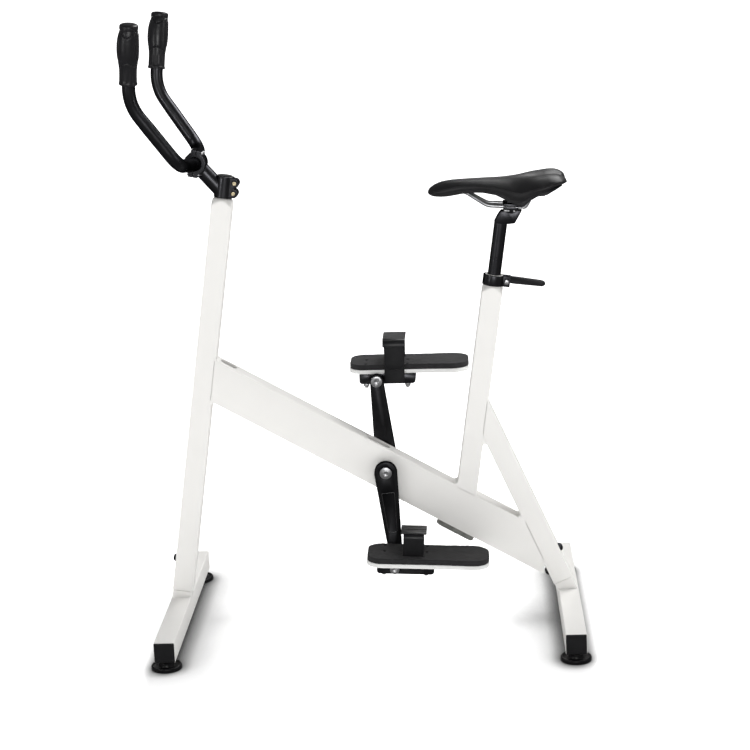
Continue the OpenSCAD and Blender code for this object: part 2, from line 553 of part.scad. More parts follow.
// the bolt that a foot plate turns on, with its head on the crank's inner face
module spindle() difference() {
  union() {
    cyl_y(11, 23.4, crank_in);
    cyl_y(6, 23.4, 126.5);
    cyl_y(9.2, 122.6, 127);
  }
  translate([0, 26, 0]) rotate([90, 0, 0]) hex(8, 0, 6);
  translate([0, 124.4, 0]) rotate([-90, 0, 0]) hex(8, 0, 6);
}
module left_pedal_spindle() color(steel_c) translate(left_axle) mirror([0, 1, 0]) spindle();
module right_pedal_spindle() color(steel_c) translate(right_axle) spindle();

// ================= foot plates =================
module at_left() translate(left_axle) rotate([0, left_tilt, 0]) mirror([0, 1, 0]) children();
module at_right() translate(right_axle) rotate([0, right_tilt, 0]) children();
ped_x0 = -54; ped_x1 = 183; ped_y = 98.5;
screw_x = [-21.5, 61]; screw_y = [61, 97];
strap_x0 = 15.5; strap_x1 = 55.5;
// sole-shaped outline, seen from above, drawn in X and Y
function sole(e) = let (h = pedal_w / 2 - e, f = ped_x0 + e, b = ped_x1 - e) concat(
  arc([b - 33, ped_y + h - 33], 33, 90, 0, 8), arc([b - 33, ped_y - h + 33], 33, 0, -90, 8),
  [[100, ped_y - h + 2], [60, ped_y - h + 2]],
  arc([f + 28, ped_y - h + 28], 28, 270, 180, 8), arc([f + 28, ped_y + h - 28], 28, 180, 90, 8),
  [[60, ped_y + h - 1.2], [100, ped_y + h - 1.2]]);
module strap_slots() for (y = [121.6]) translate([strap_x0 - 0.8, y, -30]) cube([strap_x1 - strap_x0 + 1.6, 3.6, 80]);
module screw_holes(r, z0, z1) for (x = screw_x) for (y = screw_y) translate([x, y, z0]) cylinder(r = r, h = z1 - z0);

module pedal_bracket() difference() {
  union() {
    // two bosses along the axle, joined by a flanged plate
    slab(50, 121.5) polygon(concat([[-35, 9.6], [-35, -4]], arc([-29, -4.4], 6, 180, 270, 3), arc([71, -4.4], 6, 270, 360, 3), [[77, 9.6]]));
  }
  // hollows under the plate
  translate([15, 55, -20]) cube([38, 62, 25]);
  cyl_y(6 + fit, 40, 130);
  screw_holes(2.6, -30, 30);
}
module foot_plate() difference() {
  translate([0, 0, 9.7]) linear_extrude(8) polygon(sole(-0.6));
  strap_slots();
  screw_holes(2.6, 0, 30);
  screw_holes(4.9, 14.6, 30);
}
module foot_pad() difference() {
  translate([0, 0, 17.7]) linear_extrude(10.5) polygon(sole(0));
  strap_slots();
  screw_holes(3.2, 0, 40);
}
// strap profile in Y and Z: an arch, and the free end folded back down inside;
// its sleeve is wider than the strap by e on each side
module strap(h, e) {
  slab_x(strap_x0, strap_x1) difference() {
    polygon(concat([[47.4, -7]], arc([57.4, h - 10], 10, 180, 90), arc([114.6, h - 10], 10, 90, 0), [[124.6, -7]]));
    polygon(concat([[49.7, -8]], arc([57.7, h - 10.3], 8, 180, 90), arc([114.3, h - 10.3], 8, 90, 0), [[122.3, -8]]));
  }
  slab_x(strap_x0 + 0.6, strap_x1 - 0.6) difference() {
    polygon(concat([[45.4, 18]], arc([57.4, h - 10], 12, 180, 90), arc([114.6, h - 10], 12, 90, 30), [[120, h - 12]]));
    polygon(concat([[47.4, 0]], arc([57.4, h - 10], 10, 180, 90), arc([114.6, h - 10], 10, 90, 0), [[124.6, 0]]));
  }
  // wider sleeve over the top of the arch
  slab_x(strap_x0 - e, strap_x1 + e) difference() {
    polygon(concat([[44, h - 10]], arc([57.4, h - 10], 13.4, 180, 90), arc([114.6, h - 10], 13.4, 90, 45), [[118, h - 9]]));
    polygon(concat([[45.4, h - 12]], arc([57.4, h - 10], 12, 180, 90), arc([114.6, h - 10], 12, 90, 0), [[127, h - 30], [100, h - 30]]));
  }
}
// screws with countersunk heads in the plate, and their nuts under the bracket
module fixings() for (x = screw_x) for (y = screw_y) translate([x, y, 0]) difference() {
  union() {
    translate([0, 0, -17]) cylinder(r = 2.5, h = 33);
    translate([0, 0, 14.6]) cylinder(r = 4.6, h = 2.6);
    hex(10, -16, -10.5);
    translate([0, 0, -20]) cylinder(r1 = 3.4, r2 = 4.8, h = 4);
  }
  translate([0, 0, 15.6]) hex(3.5, 0, 3);
}
module left_pedal_bracket() color(black_c) at_left() pedal_bracket();
module left_foot_plate() color(frame_c) at_left() foot_plate();
module left_foot_pad() color(black_c) at_left() foot_pad();
module left_strap() color(black_c) at_left() strap(left_strap_h, 5);
module left_pedal_fixings() color(steel_c) at_left() fixings();
module right_pedal_bracket() color(black_c) at_right() pedal_bracket();
module right_foot_plate() color(frame_c) at_right() foot_plate();
module right_foot_pad() color(black_c) at_right() foot_pad();
module right_strap() color(black_c) at_right() strap(right_strap_h, 2.6);
module right_pedal_fixings() color(steel_c) at_right() fixings();

front_post();
main_beam();
seat_tube();
rear_strut();
steerer_tube();
steerer_support();
steerer_cap();
seat_tube_liner();
bottom_bracket_shell();
crank_bushes();
front_foot_tube();
rear_foot_tube();
front_spigot();
rear_spigot();
foot_end_caps();
foot_nuts();
frame_bolts();
corrosion_anode();
anode_screws();
levelling_foot_front_left();
levelling_foot_front_right();
levelling_foot_rear_left();
levelling_foot_rear_right();
stem_body();
stem_pinch_bolts();
stem_face_plate();
face_plate_bolts();
handlebar();
left_grip();
right_grip();
seat_collar();
collar_skewer();
collar_lever();
seat_post();
seat_post_head();
lower_rail_cradle();
upper_rail_cradle();
cradle_bolt();
saddle_cover();
saddle_base();
saddle_rails();
crank_axle();
left_crank();
right_crank();
crank_bolts();
left_pedal_spindle();
right_pedal_spindle();
left_pedal_bracket();
left_foot_plate();
left_foot_pad();
left_strap();
left_pedal_fixings();
right_pedal_bracket();
right_foot_plate();
right_foot_pad();
right_strap();
right_pedal_fixings();
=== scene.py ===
import bpy, bmesh, json, math
from math import radians, sin, cos, pi, exp, sqrt
from mathutils import Vector, Matrix
from mathutils.bvhtree import BVHTree


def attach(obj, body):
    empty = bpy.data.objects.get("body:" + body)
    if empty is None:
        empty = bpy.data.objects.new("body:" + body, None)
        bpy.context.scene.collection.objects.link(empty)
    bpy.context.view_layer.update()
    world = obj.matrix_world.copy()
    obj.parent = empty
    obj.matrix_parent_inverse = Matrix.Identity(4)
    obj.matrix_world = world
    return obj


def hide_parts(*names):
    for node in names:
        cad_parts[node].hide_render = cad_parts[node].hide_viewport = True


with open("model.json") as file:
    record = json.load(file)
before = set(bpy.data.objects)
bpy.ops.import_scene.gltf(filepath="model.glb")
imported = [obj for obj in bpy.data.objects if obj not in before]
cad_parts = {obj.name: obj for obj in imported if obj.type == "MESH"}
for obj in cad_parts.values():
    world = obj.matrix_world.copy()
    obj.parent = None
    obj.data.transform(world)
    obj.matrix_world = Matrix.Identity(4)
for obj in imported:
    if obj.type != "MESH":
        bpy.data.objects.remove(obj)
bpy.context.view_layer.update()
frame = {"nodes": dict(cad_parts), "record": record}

MM = 0.001
NODES = frame["nodes"]
BODY = {n: b for b, ns in frame["record"]["behaviour"]["bodies"].items() for n in ns}

# ------------------------------------------------------------------ datums (mm)
def at(p, deg):
    return Matrix.Translation(Vector(p)) @ Matrix.Rotation(radians(deg), 4, "Y")

MIRROR = Matrix.Diagonal((1, -1, 1, 1))
CRANK_P = Vector((33.5, 0, 313.8))
POST = at((-386, 0, 72.2), 9)
BEAM = at(CRANK_P, 30)
SEAT = at((192.1, 0, 268.7), 8.5)
STRUT = at((378.8, 0, 76), -23.5)
CRADLE = at((290.5, 0, 831), 4.7)
TURN = radians(4.8)
L_AXLE = CRANK_P + 170 * Vector((sin(TURN), 0, -cos(TURN)))
R_AXLE = CRANK_P - 170 * Vector((sin(TURN), 0, -cos(TURN)))
LEFT = at(L_AXLE, 3) @ MIRROR
RIGHT = at(R_AXLE, 0.4)
POST_LEN, SEAT_LEN, STEM_S = 800.0, 413.0, 822.4
FOOT_X, FOOT_Z, FOOT_TOP = 389.35, 17.6, 57.6


def axis(m, v):
    return (m.to_3x3() @ Vector(v)).normalized()


# ------------------------------------------------------------------ materials
def material(name, base, rough, metallic=0.0, spec=0.5, vary=0.06, vscale=35.0, rvary=0.05, rscale=60.0,
             grain=(), coat=0.0, coat_rough=0.2, sheen=0.0, sheen_rough=0.5, edge=0.0, stretch=None, aniso=0.0, tint=1.0):
    """A procedural finish. grain is a list of (kind, scale, distance in mm, strength)."""
    m = bpy.data.materials.new(name)
    m.use_nodes = True
    m.diffuse_color = (*base, 1)
    t = m.node_tree
    n, lk = t.nodes, t.links
    b = n["Principled BSDF"]
    b.inputs["Metallic"].default_value = metallic
    b.inputs["Specular IOR Level"].default_value = spec
    b.inputs["Coat Weight"].default_value = coat
    b.inputs["Coat Roughness"].default_value = coat_rough
    b.inputs["Sheen Weight"].default_value = sheen
    b.inputs["Sheen Roughness"].default_value = sheen_rough
    b.inputs["Anisotropic"].default_value = aniso
    b.inputs["Specular Tint"].default_value = (tint, tint, tint, 1)
    tc = n.new("ShaderNodeTexCoord")
    src = tc.outputs["Object"]
    if stretch:
        mp = n.new("ShaderNodeMapping")
        mp.inputs["Scale"].default_value = stretch
        lk.new(src, mp.inputs["Vector"])
        src = mp.outputs["Vector"]

    def noise(scale, detail=3.0, roughness=0.55, vec=None):
        q = n.new("ShaderNodeTexNoise")
        q.inputs["Scale"].default_value = scale
        q.inputs["Detail"].default_value = detail
        q.inputs["Roughness"].default_value = roughness
        lk.new(vec or src, q.inputs["Vector"])
        return q.outputs["Fac"]

    def mix(fac, a, c):
        q = n.new("ShaderNodeMix")
        q.data_type = "RGBA"
        q.inputs[6].default_value = (*a, 1)
        q.inputs[7].default_value = (*c, 1)
        lk.new(fac, q.inputs[0])
        return q

    def remap(v, lo, hi, a=0.3, c=0.7):
        q = n.new("ShaderNodeMapRange")
        q.inputs[1].default_value, q.inputs[2].default_value = a, c
        q.inputs[3].default_value, q.inputs[4].default_value = lo, hi
        lk.new(v, q.inputs[0])
        return q.outputs[0]

    dark = tuple(max(0.0, c * (1 - vary)) for c in base)
    light = tuple(min(1.0, c * (1 + vary)) for c in base)
    q = mix(remap(noise(vscale), 0, 1), dark, light)
    col = q.outputs[2]
    if edge > 0:
        g = n.new("ShaderNodeNewGeometry")
        w = remap(g.outputs["Pointiness"], 0, edge, 0.52, 0.60)
        w2 = n.new("ShaderNodeMath")
        w2.operation = "MULTIPLY"
        lk.new(w, w2.inputs[0])
        lk.new(remap(noise(180), 0.3, 1), w2.inputs[1])
        q2 = n.new("ShaderNodeMix")
        q2.data_type = "RGBA"
        lk.new(w2.outputs[0], q2.inputs[0])
        lk.new(col, q2.inputs[6])
        q2.inputs[7].default_value = (*[min(1.0, c * 2.2 + 0.05) for c in base], 1)
        col = q2.outputs[2]
    lk.new(col, b.inputs["Base Color"])
    lk.new(remap(noise(rscale), max(0.02, rough - rvary), min(1.0, rough + rvary)), b.inputs["Roughness"])
    last = None
    for kind, scale, dist, strength in grain:
        if kind == "noise":
            h = noise(scale, 2.0)
        elif kind == "cells":
            q = n.new("ShaderNodeTexVoronoi")
            q.feature = "SMOOTH_F1"
            q.inputs["Scale"].default_value = scale
            lk.new(src, q.inputs["Vector"])
            h = q.outputs["Distance"]
        elif kind == "crackle":
            q = n.new("ShaderNodeTexVoronoi")
            q.feature = "DISTANCE_TO_EDGE"
            q.inputs["Scale"].default_value = scale
            lk.new(src, q.inputs["Vector"])
            h = remap(q.outputs["Distance"], 0, 1, 0.0, 0.25)
        else:
            q = n.new("ShaderNodeTexWave")
            q.wave_type = "BANDS"
            q.bands_direction = kind
            q.inputs["Scale"].default_value = scale
            q.inputs["Distortion"].default_value = 0.3
            lk.new(src, q.inputs["Vector"])
            h = q.outputs["Fac"]
        bp = n.new("ShaderNodeBump")
        bp.inputs["Distance"].default_value = dist * MM
        bp.inputs["Strength"].default_value = strength
        lk.new(h, bp.inputs["Height"])
        if last:
            lk.new(last, bp.inputs["Normal"])
        last = bp.outputs["Normal"]
    if last:
        lk.new(last, b.inputs["Normal"])
    return m


MAT = {
    "frame_coat": material("frame_coat", (0.805, 0.795, 0.77), 0.36, vary=0.012, vscale=9, rvary=0.05, rscale=25,
                           grain=[("noise", 620, 0.08, 0.3), ("noise", 90, 0.12, 0.10)], coat=0.12, coat_rough=0.22),
    "black_metal": material("black_metal", (0.062, 0.062, 0.067), 0.31, metallic=1.0, vary=0.10, vscale=50, rvary=0.05, rscale=40,
                            grain=[("noise", 900, 0.02, 0.12)], tint=0.1),
    "black_plastic": material("black_plastic", (0.0085, 0.0085, 0.0095), 0.40, spec=0.3, vary=0.12, vscale=60, rvary=0.06,
                              grain=[("cells", 1500, 0.03, 0.25)]),
    "crank_black": material("crank_black", (0.031, 0.031, 0.033), 0.42, metallic=1.0, vary=0.12, vscale=70, rvary=0.05,
                            grain=[("noise", 1300, 0.03, 0.15)], tint=0.1),
    # the crank bead's colour: lighter than crank_black as a painted highlight line round the sunk panel
    "bead_painted_highlight": material("bead_painted_highlight", (0.17, 0.17, 0.175), 0.34, metallic=1.0, vary=0.12, vscale=70, rvary=0.05,
                            grain=[("noise", 1300, 0.03, 0.15)], tint=0.1),
    "grip_rubber": material("grip_rubber", (0.0062, 0.0060, 0.0074), 0.34, spec=0.48, vary=0.12, vscale=80, rvary=0.05,
                            grain=[("crackle", 1100, 0.04, 0.3), ("noise", 300, 0.04, 0.15)]),
    "pad_rubber": material("pad_rubber", (0.0195, 0.019, 0.020), 0.78, spec=0.2, vary=0.16, vscale=120, rvary=0.06,
                           grain=[("cells", 900, 0.18, 0.45), ("noise", 180, 0.2, 0.3)], sheen=0.05),
    "strap_rubber": material("strap_rubber", (0.0065, 0.0065, 0.0075), 0.36, spec=0.4, vary=0.12, vscale=90, rvary=0.05,
                             grain=[("Z", 360, 0.04, 0.2), ("noise", 700, 0.03, 0.2)]),
    "saddle_cover": material("saddle_cover", (0.0100, 0.0098, 0.0106), 0.42, spec=0.36, vary=0.12, vscale=60, rvary=0.05,
                             grain=[("crackle", 780, 0.08, 0.35), ("noise", 60, 0.3, 0.12)]),
    "white_plate": material("white_plate", (0.71, 0.71, 0.70), 0.33, vary=0.015, vscale=30, rvary=0.05,
                            grain=[("noise", 500, 0.06, 0.25)]),
    "steel": material("steel", (0.66, 0.66, 0.67), 0.34, metallic=1.0, vary=0.08, vscale=120, rvary=0.07,
                      grain=[("noise", 900, 0.03, 0.2)], stretch=(1, 6, 1)),
    "brass": material("brass", (0.86, 0.74, 0.50), 0.30, metallic=1.0, vary=0.10, vscale=120, rvary=0.07,
                      grain=[("noise", 900, 0.03, 0.2)]),
    "anode": material("anode", (0.185, 0.185, 0.172), 0.66, metallic=0.35, vary=0.22, vscale=90, rvary=0.12,
                      grain=[("noise", 260, 0.25, 0.5), ("cells", 900, 0.1, 0.35)]),
    "rubber_foot": material("rubber_foot", (0.0055, 0.0055, 0.0062), 0.33, spec=0.25, vary=0.15, vscale=90, rvary=0.06,
                            grain=[("noise", 800, 0.03, 0.2)]),
}


# ------------------------------------------------------------------ mesh tools
def finish_mesh(name, bm, mat, body, rep=(), slot=None, smooth=35, closed=True, scale=True):
    if scale:
        bmesh.ops.scale(bm, vec=(MM, MM, MM), verts=bm.verts)
    if closed:
        bmesh.ops.recalc_face_normals(bm, faces=bm.faces)
    me = bpy.data.meshes.new(name)
    bm.to_mesh(me)
    bm.free()
    for a in ("custom_normal",):
        if a in me.attributes:
            me.attributes.remove(me.attributes[a])
    me.materials.clear()
    me.materials.append(MAT[mat])
    for p in me.polygons:
        p.material_index = 0
    me.shade_smooth()
    me.set_sharp_from_angle(angle=radians(smooth))
    o = bpy.data.objects.new(name, me)
    bpy.context.scene.collection.objects.link(o)
    if body:
        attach(o, body)
    if rep:
        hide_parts(*rep)
    return o


def mesh(name, verts, faces, mat, body, m=None, **kw):
    bm = bmesh.new()
    vs = [bm.verts.new(v) for v in verts]
    for f in faces:
        try:
            bm.faces.new([vs[i] for i in f])
        except ValueError:
            pass
    if m is not None:
        bmesh.ops.transform(bm, matrix=m, verts=bm.verts)
    return finish_mesh(name, bm, mat, body, **kw)


def join(parts):
    """(verts, faces) of several such pairs together."""
    V, F = [], []
    for v, f in parts:
        k = len(V)
        V += list(v)
        F += [tuple(i + k for i in q) for q in f]
    return V, F


def move(part, m):
    return [m @ Vector(v) for v in part[0]], part[1]


def loft(rings, caps=True, wrap=False):
    """Closed rings joined in order; wrap joins the last to the first."""
    n = len(rings[0])
    V = [p for r in rings for p in r]
    F = []
    for i in range(len(rings) - (0 if wrap else 1)):
        a, b = i * n, ((i + 1) % len(rings)) * n
        for k in range(n):
            j = (k + 1) % n
            F.append((a + k, a + j, b + j, b + k))
    if caps and not wrap:
        F.append(tuple(range(n - 1, -1, -1)))
        F.append(tuple(range((len(rings) - 1) * n, len(rings) * n)))
    return V, F


def rrect(hx, hy, r, n=5, flat=1):
    pts = []
    cs = ((hx - r, hy - r, 0), (-hx + r, hy - r, 90), (-hx + r, -hy + r, 180), (hx - r, -hy + r, 270))
    for c in range(4):
        cx, cy, a0 = cs[c]
        arc = [(cx + r * cos(radians(a0 + 90 * k / n)), cy + r * sin(radians(a0 + 90 * k / n))) for k in range(n + 1)]
        pts += arc
        nx, ny, b0 = cs[(c + 1) % 4]
        q = (nx + r * cos(radians(b0)), ny + r * sin(radians(b0)))
        for k in range(1, flat):
            f = k / flat
            pts.append((arc[-1][0] * (1 - f) + q[0] * f, arc[-1][1] * (1 - f) + q[1] * f))
    return pts


def lathe(profile, n=64):
    """Profile of (r, z) turned about Z. Closed when it starts and ends at r = 0."""
    V, F, idx = [], [], []
    for r, z in profile:
        if r < 1e-6:
            idx.append([len(V)])
            V.append((0, 0, z))
        else:
            idx.append(list(range(len(V), len(V) + n)))
            V += [(r * cos(2 * pi * k / n), r * sin(2 * pi * k / n), z) for k in range(n)]
    for a, b in zip(idx, idx[1:]):
        for k in range(n):
            j = (k + 1) % n
            if len(a) == 1 and len(b) == 1:
                continue
            if len(a) == 1:
                F.append((a[0], b[k], b[j]))
            elif len(b) == 1:
                F.append((a[k], a[j], b[0]))
            else:
                F.append((a[k], a[j], b[j], b[k]))
    if len(idx[0]) > 1 and len(idx[-1]) > 1:
        a, b = idx[-1], idx[0]
        for k in range(n):
            j = (k + 1) % n
            F.append((a[k], a[j], b[j], b[k]))
    return V, F


def smooth_step(x):
    x = min(1.0, max(0.0, x))
    return x * x * (3 - 2 * x)


def table(x, rows):
    """Smooth reading of a table of (x, value) rows, monotone between rows."""
    n = len(rows)
    if x <= rows[0][0]:
        return rows[0][1]
    if x >= rows[-1][0]:
        return rows[-1][1]
    d = [(rows[i + 1][1] - rows[i][1]) / (rows[i + 1][0] - rows[i][0]) for i in range(n - 1)]
    m = [d[0]] + [0 if d[i - 1] * d[i] <= 0 else 2 * d[i - 1] * d[i] / (d[i - 1] + d[i]) for i in range(1, n - 1)] + [d[-1]]
    i = max(k for k in range(n - 1) if rows[k][0] <= x)
    h = rows[i + 1][0] - rows[i][0]
    t = (x - rows[i][0]) / h
    return ((2 * t ** 3 - 3 * t ** 2 + 1) * rows[i][1] + (t ** 3 - 2 * t ** 2 + t) * h * m[i]
            + (-2 * t ** 3 + 3 * t ** 2) * rows[i + 1][1] + (t ** 3 - t ** 2) * h * m[i + 1])


def cut(o, verts, faces, m, op="DIFFERENCE"):
    """Boolean of o with a closed solid given in mm."""
    bm = bmesh.new()
    vs = [bm.verts.new(v) for v in verts]
    for f in faces:
        bm.faces.new([vs[i] for i in f])
    bmesh.ops.transform(bm, matrix=m, verts=bm.verts)
    bmesh.ops.scale(bm, vec=(MM, MM, MM), verts=bm.verts)
    bmesh.ops.recalc_face_normals(bm, faces=bm.faces)
    me = bpy.data.meshes.new("cutter")
    bm.to_mesh(me)
    bm.free()
    c = bpy.data.objects.new("cutter", me)
    bpy.context.scene.collection.objects.link(c)
    q = o.modifiers.new("cut", "BOOLEAN")
    q.operation, q.solver, q.object = op, "EXACT", c
    bpy.context.view_layer.update()
    new = bpy.data.meshes.new_from_object(o.evaluated_get(bpy.context.evaluated_depsgraph_get()))
    o.modifiers.clear()
    old = o.data
    name = old.name
    o.data = new
    bpy.data.meshes.remove(old)
    new.name = name
    bpy.data.objects.remove(c)
    while len(new.materials) > 1:
        new.materials.pop()
    for p in new.polygons:
        p.material_index = 0
    new.shade_smooth()
    new.set_sharp_from_angle(angle=radians(35))


REFINED = {}


def refine(node, mat, w=0.6, segs=2, ang=28, smooth=38, name=None, pick=None, first=None, body=None):
    """A copy of a CAD node with its sharp edges rounded. first = (width mm, segments, chooser) rounds some edges more."""
    src = NODES[node]
    base = bmesh.new()
    base.from_mesh(src.data)
    bmesh.ops.remove_doubles(base, verts=base.verts, dist=3e-6)
    bmesh.ops.dissolve_limit(base, angle_limit=radians(0.7), verts=base.verts, edges=base.edges)
    tree = BVHTree.FromBMesh(base)

    def sharp(bm):
        return [e for e in bm.edges if len(e.link_faces) == 2 and e.calc_face_angle(0) > radians(ang)]

    def attempt(bm, width, n, chooser):
        es = [e for e in sharp(bm) if chooser is None or chooser(e)]
        if not es:
            return bm
        for f in (1.0, 0.6, 0.35):
            c = bm.copy()
            keep = {e.index for e in es}
            c.edges.ensure_lookup_table()
            bm.edges.index_update()
            keep = {e.index for e in es}
            ce = [e for e in c.edges if e.index in keep] if len(c.edges) == len(bm.edges) else []
            bmesh.ops.bevel(c, geom=ce, offset=width * f * MM, offset_type="OFFSET", segments=n, profile=0.5,
                            affect="EDGES", clamp_overlap=False, loop_slide=True)
            worst = 0.0
            for v in c.verts:
                hit = tree.find_nearest(v.co)
                if hit[0] is None:
                    continue
                worst = max(worst, hit[3])
            if worst < width * 1.1 * MM:
                REFINED.setdefault(node, []).append((round(width * f, 2), round(worst / MM, 2)))
                return c
            c.free()
        REFINED.setdefault(node, []).append(("flat", width))
        return bm

    bm = base
    if first:
        bm = attempt(bm, first[0], first[1], first[2])
    if w > 0:
        bm = attempt(bm, w, segs, pick)
    return finish_mesh(name or node + "_finish", bm, mat, body or BODY[node], rep=(node,), smooth=smooth, closed=False, scale=False)


def keep_node(node, mat):
    o = NODES[node]
    o.data.materials.clear()
    o.data.materials.append(MAT[mat])


# ------------------------------------------------------------------ camera, floor, light
cam = bpy.data.cameras.new("camera")
cam.lens, cam.sensor_width = 91.968, 36.0
cam.clip_start, cam.clip_end = 0.1, 200
cam_o = bpy.data.objects.new("camera", cam)
bpy.context.scene.collection.objects.link(cam_o)
yaw, pitch, roll = -0.04865, 0.24093, -0.03957
fwd = Vector((sin(yaw) * cos(pitch), cos(yaw) * cos(pitch), -sin(pitch)))
right0 = Vector((cos(yaw), -sin(yaw), 0))
up0 = right0.cross(fwd)
r_ax = cos(roll) * right0 + sin(roll) * up0
u_ax = -sin(roll) * right0 + cos(roll) * up0
rot = Matrix((r_ax, u_ax, -fwd)).transposed()
cam_o.matrix_world = Matrix.Translation((0.195722, -3.645333, 1.40037)) @ rot.to_4x4()
bpy.context.scene.camera = cam_o
bpy.context.scene.view_settings.view_transform = "Standard"


def stage_floor():
    prof = [(-40.0, 0.0), (5.0, 0.0)]
    R = 2.5
    for k in range(1, 13):
        a = radians(90 * k / 12)
        prof.append((5.0 + R * sin(a), R - R * cos(a)))
    prof.append((7.5, 7.0))
    V, F = [], []
    for y, z in prof:
        V += [(-30.0, y, z), (30.0, y, z)]
    for i in range(len(prof) - 1):
        F.append((2 * i, 2 * i + 1, 2 * i + 3, 2 * i + 2))
    me = bpy.data.meshes.new("floor")
    me.from_pydata(V, [], F)
    me.shade_smooth()
    o = bpy.data.objects.new("floor", me)
    bpy.context.scene.collection.objects.link(o)
    m = bpy.data.materials.new("floor")
    m.use_nodes = True
    b = m.node_tree.nodes["Principled BSDF"]
    b.inputs["Roughness"].default_value = 0.9
    b.inputs["Specular IOR Level"].default_value = 0.1
    b.inputs["Emission Color"].default_value = (1, 1, 1, 1)
    n, lk = m.node_tree.nodes, m.node_tree.links
    # ambient occlusion at two reaches, used as a painted contact shadow on the floor
    painted_ao_shade = []
    for reach in (0.13, 0.035):
        ao = n.new("ShaderNodeAmbientOcclusion")
        ao.samples = 12
        ao.inputs["Distance"].default_value = reach
        painted_ao_shade.append(ao.outputs["AO"])
    tc, sep = n.new("ShaderNodeTexCoord"), n.new("ShaderNodeSeparateXYZ")
    lk.new(tc.outputs["Object"], sep.inputs[0])

    def node(op, a, b_=None):
        q = n.new("ShaderNodeMath")
        q.operation = op
        for k, v in enumerate((a, b_)):
            if v is None:
                continue
            if isinstance(v, (int, float)):
                q.inputs[k].default_value = v
            else:
                lk.new(v, q.inputs[k])
        return q.outputs[0]

    def ramp(v, a, c, lo, hi):
        q = n.new("ShaderNodeMapRange")
        q.interpolation_type = "SMOOTHSTEP"
        q.inputs[1].default_value, q.inputs[2].default_value = a, c
        q.inputs[3].default_value, q.inputs[4].default_value = lo, hi
        lk.new(v, q.inputs[0])
        return q.outputs[0]

    # painted light on the sweep: its emission glows brighter behind the object, between its feet, outside them and in
    # front, and stays low beside the feet so the painted contact shadows show
    ax = node("ABSOLUTE", sep.outputs["X"])
    # painted shade: the floor's colour is darkened near the object by the ambient-occlusion term
    painted_contact_shade = node("MULTIPLY", node("POWER", painted_ao_shade[0], 1.55), node("POWER", painted_ao_shade[1], 1.7))
    painted_shade_tone = node("MULTIPLY", painted_contact_shade, 0.88)
    painted_shade_colour = n.new("ShaderNodeCombineColor")
    for k in range(3):
        lk.new(painted_shade_tone, painted_shade_colour.inputs[k])
    lk.new(painted_shade_colour.outputs[0], b.inputs["Base Color"])
    back = ramp(sep.outputs["Y"], 0.33, 0.95, 0.0, 0.85)
    middle = ramp(ax, 0.17, 0.325, 0.50, 0.0)
    outside = ramp(ax, 0.412, 0.448, 0.0, 0.75)
    front = ramp(sep.outputs["Y"], -0.8, -0.33, 0.60, 0.0)
    # painted glow: the emission ramps, plus a constant glow dimmed by the painted contact shade
    lk.new(node("ADD", node("MAXIMUM", node("MAXIMUM", back, middle), node("MAXIMUM", outside, front)), node("MULTIPLY", painted_contact_shade, 0.30)),
           b.inputs["Emission Strength"])
    me.materials.append(m)
    o.visible_glossy = False


stage_floor()


def area(name, loc, target, size, power, size_y=None, spread=180):
    l = bpy.data.lights.new(name, "AREA")
    l.shape = "RECTANGLE"
    l.size, l.size_y = size, size_y or size
    l.energy = power
    l.spread = radians(spread)
    o = bpy.data.objects.new(name, l)
    bpy.context.scene.collection.objects.link(o)
    d = Vector(target) - Vector(loc)
    o.matrix_world = Matrix.Translation(loc) @ d.to_track_quat("-Z", "Y").to_matrix().to_4x4()
    return o


area("left_foot_box", (-1.10, -0.05, 1.25), (-0.40, -0.02, 0), 0.6, 0.8, 0.8, 70)
area("right_foot_box", (1.10, -0.05, 1.25), (0.40, -0.02, 0), 0.6, 0.7, 0.8, 70)
area("front_box", (0.35, -4.6, 1.5), (0.05, 0, 0.5), 1.9, 52, 1.5)
area("left_strip", (-2.5, -2.7, 1.2), (-0.2, 0, 0.8), 0.2, 12, 1.5)
area("right_strip", (2.3, -0.9, 1.3), (0.2, 0, 0.8), 0.25, 4, 1.4)
area("top_box", (0.9, 0.9, 2.6), (0, 0, 0.3), 1.6, 43, 1.2)
area("back_box", (-0.3, 3.3, 1.75), (-0.1, 0, 1.05), 1.3, 2.0, 0.45)
w = bpy.data.worlds.new("world")
bpy.context.scene.world = w
w.use_nodes = True
bg = w.node_tree.nodes["Background"]
bg.inputs[0].default_value = (1, 1, 1, 1)
bg.inputs[1].default_value = 0.13


# ------------------------------------------------------------------ frame tubes
def plane_t(o, d, p, n):
    """How far along d from o the plane (p, n) lies."""
    return n.dot(p - o) / n.dot(d)


def prism(name, prof, m, lo, hi, node, sub=0.18):
    """A bar of the given outline (local X, Y) along local Z of m, its ends on the functions lo and hi of a line."""
    zs = axis(m, (0, 0, 1))
    rings = []
    cx = sum(p[0] for p in prof) / len(prof)
    cy = sum(p[1] for p in prof) / len(prof)

    def ring(fn, dz, inset):
        out = []
        for x, y in prof:
            d = Vector((x - cx, y - cy))
            f = (d.length - inset) / d.length
            q = m @ Vector((cx + d.x * f, cy + d.y * f, 0))
            out.append(q + zs * (fn(q) + dz))
        return out
    rings = [ring(lo, 0, sub), ring(lo, sub, 0), ring(hi, -sub, 0), ring(hi, 0, sub)]
    V, F = loft(rings)
    return mesh(name, V, F, "frame_coat", BODY[node], rep=(node,))


def flat_end(m, z):
    p, n = m @ Vector((0, 0, z)), axis(m, (0, 0, 1))
    d = axis(m, (0, 0, 1))
    return lambda q: plane_t(q, d, p, n)


def plane_end(m, p, n):
    d = axis(m, (0, 0, 1))
    return lambda q: plane_t(q, d, Vector(p), Vector(n))


RC = 2.3                                # corner radius of the tubes
TUBE = rrect(20, 20, RC, 6)


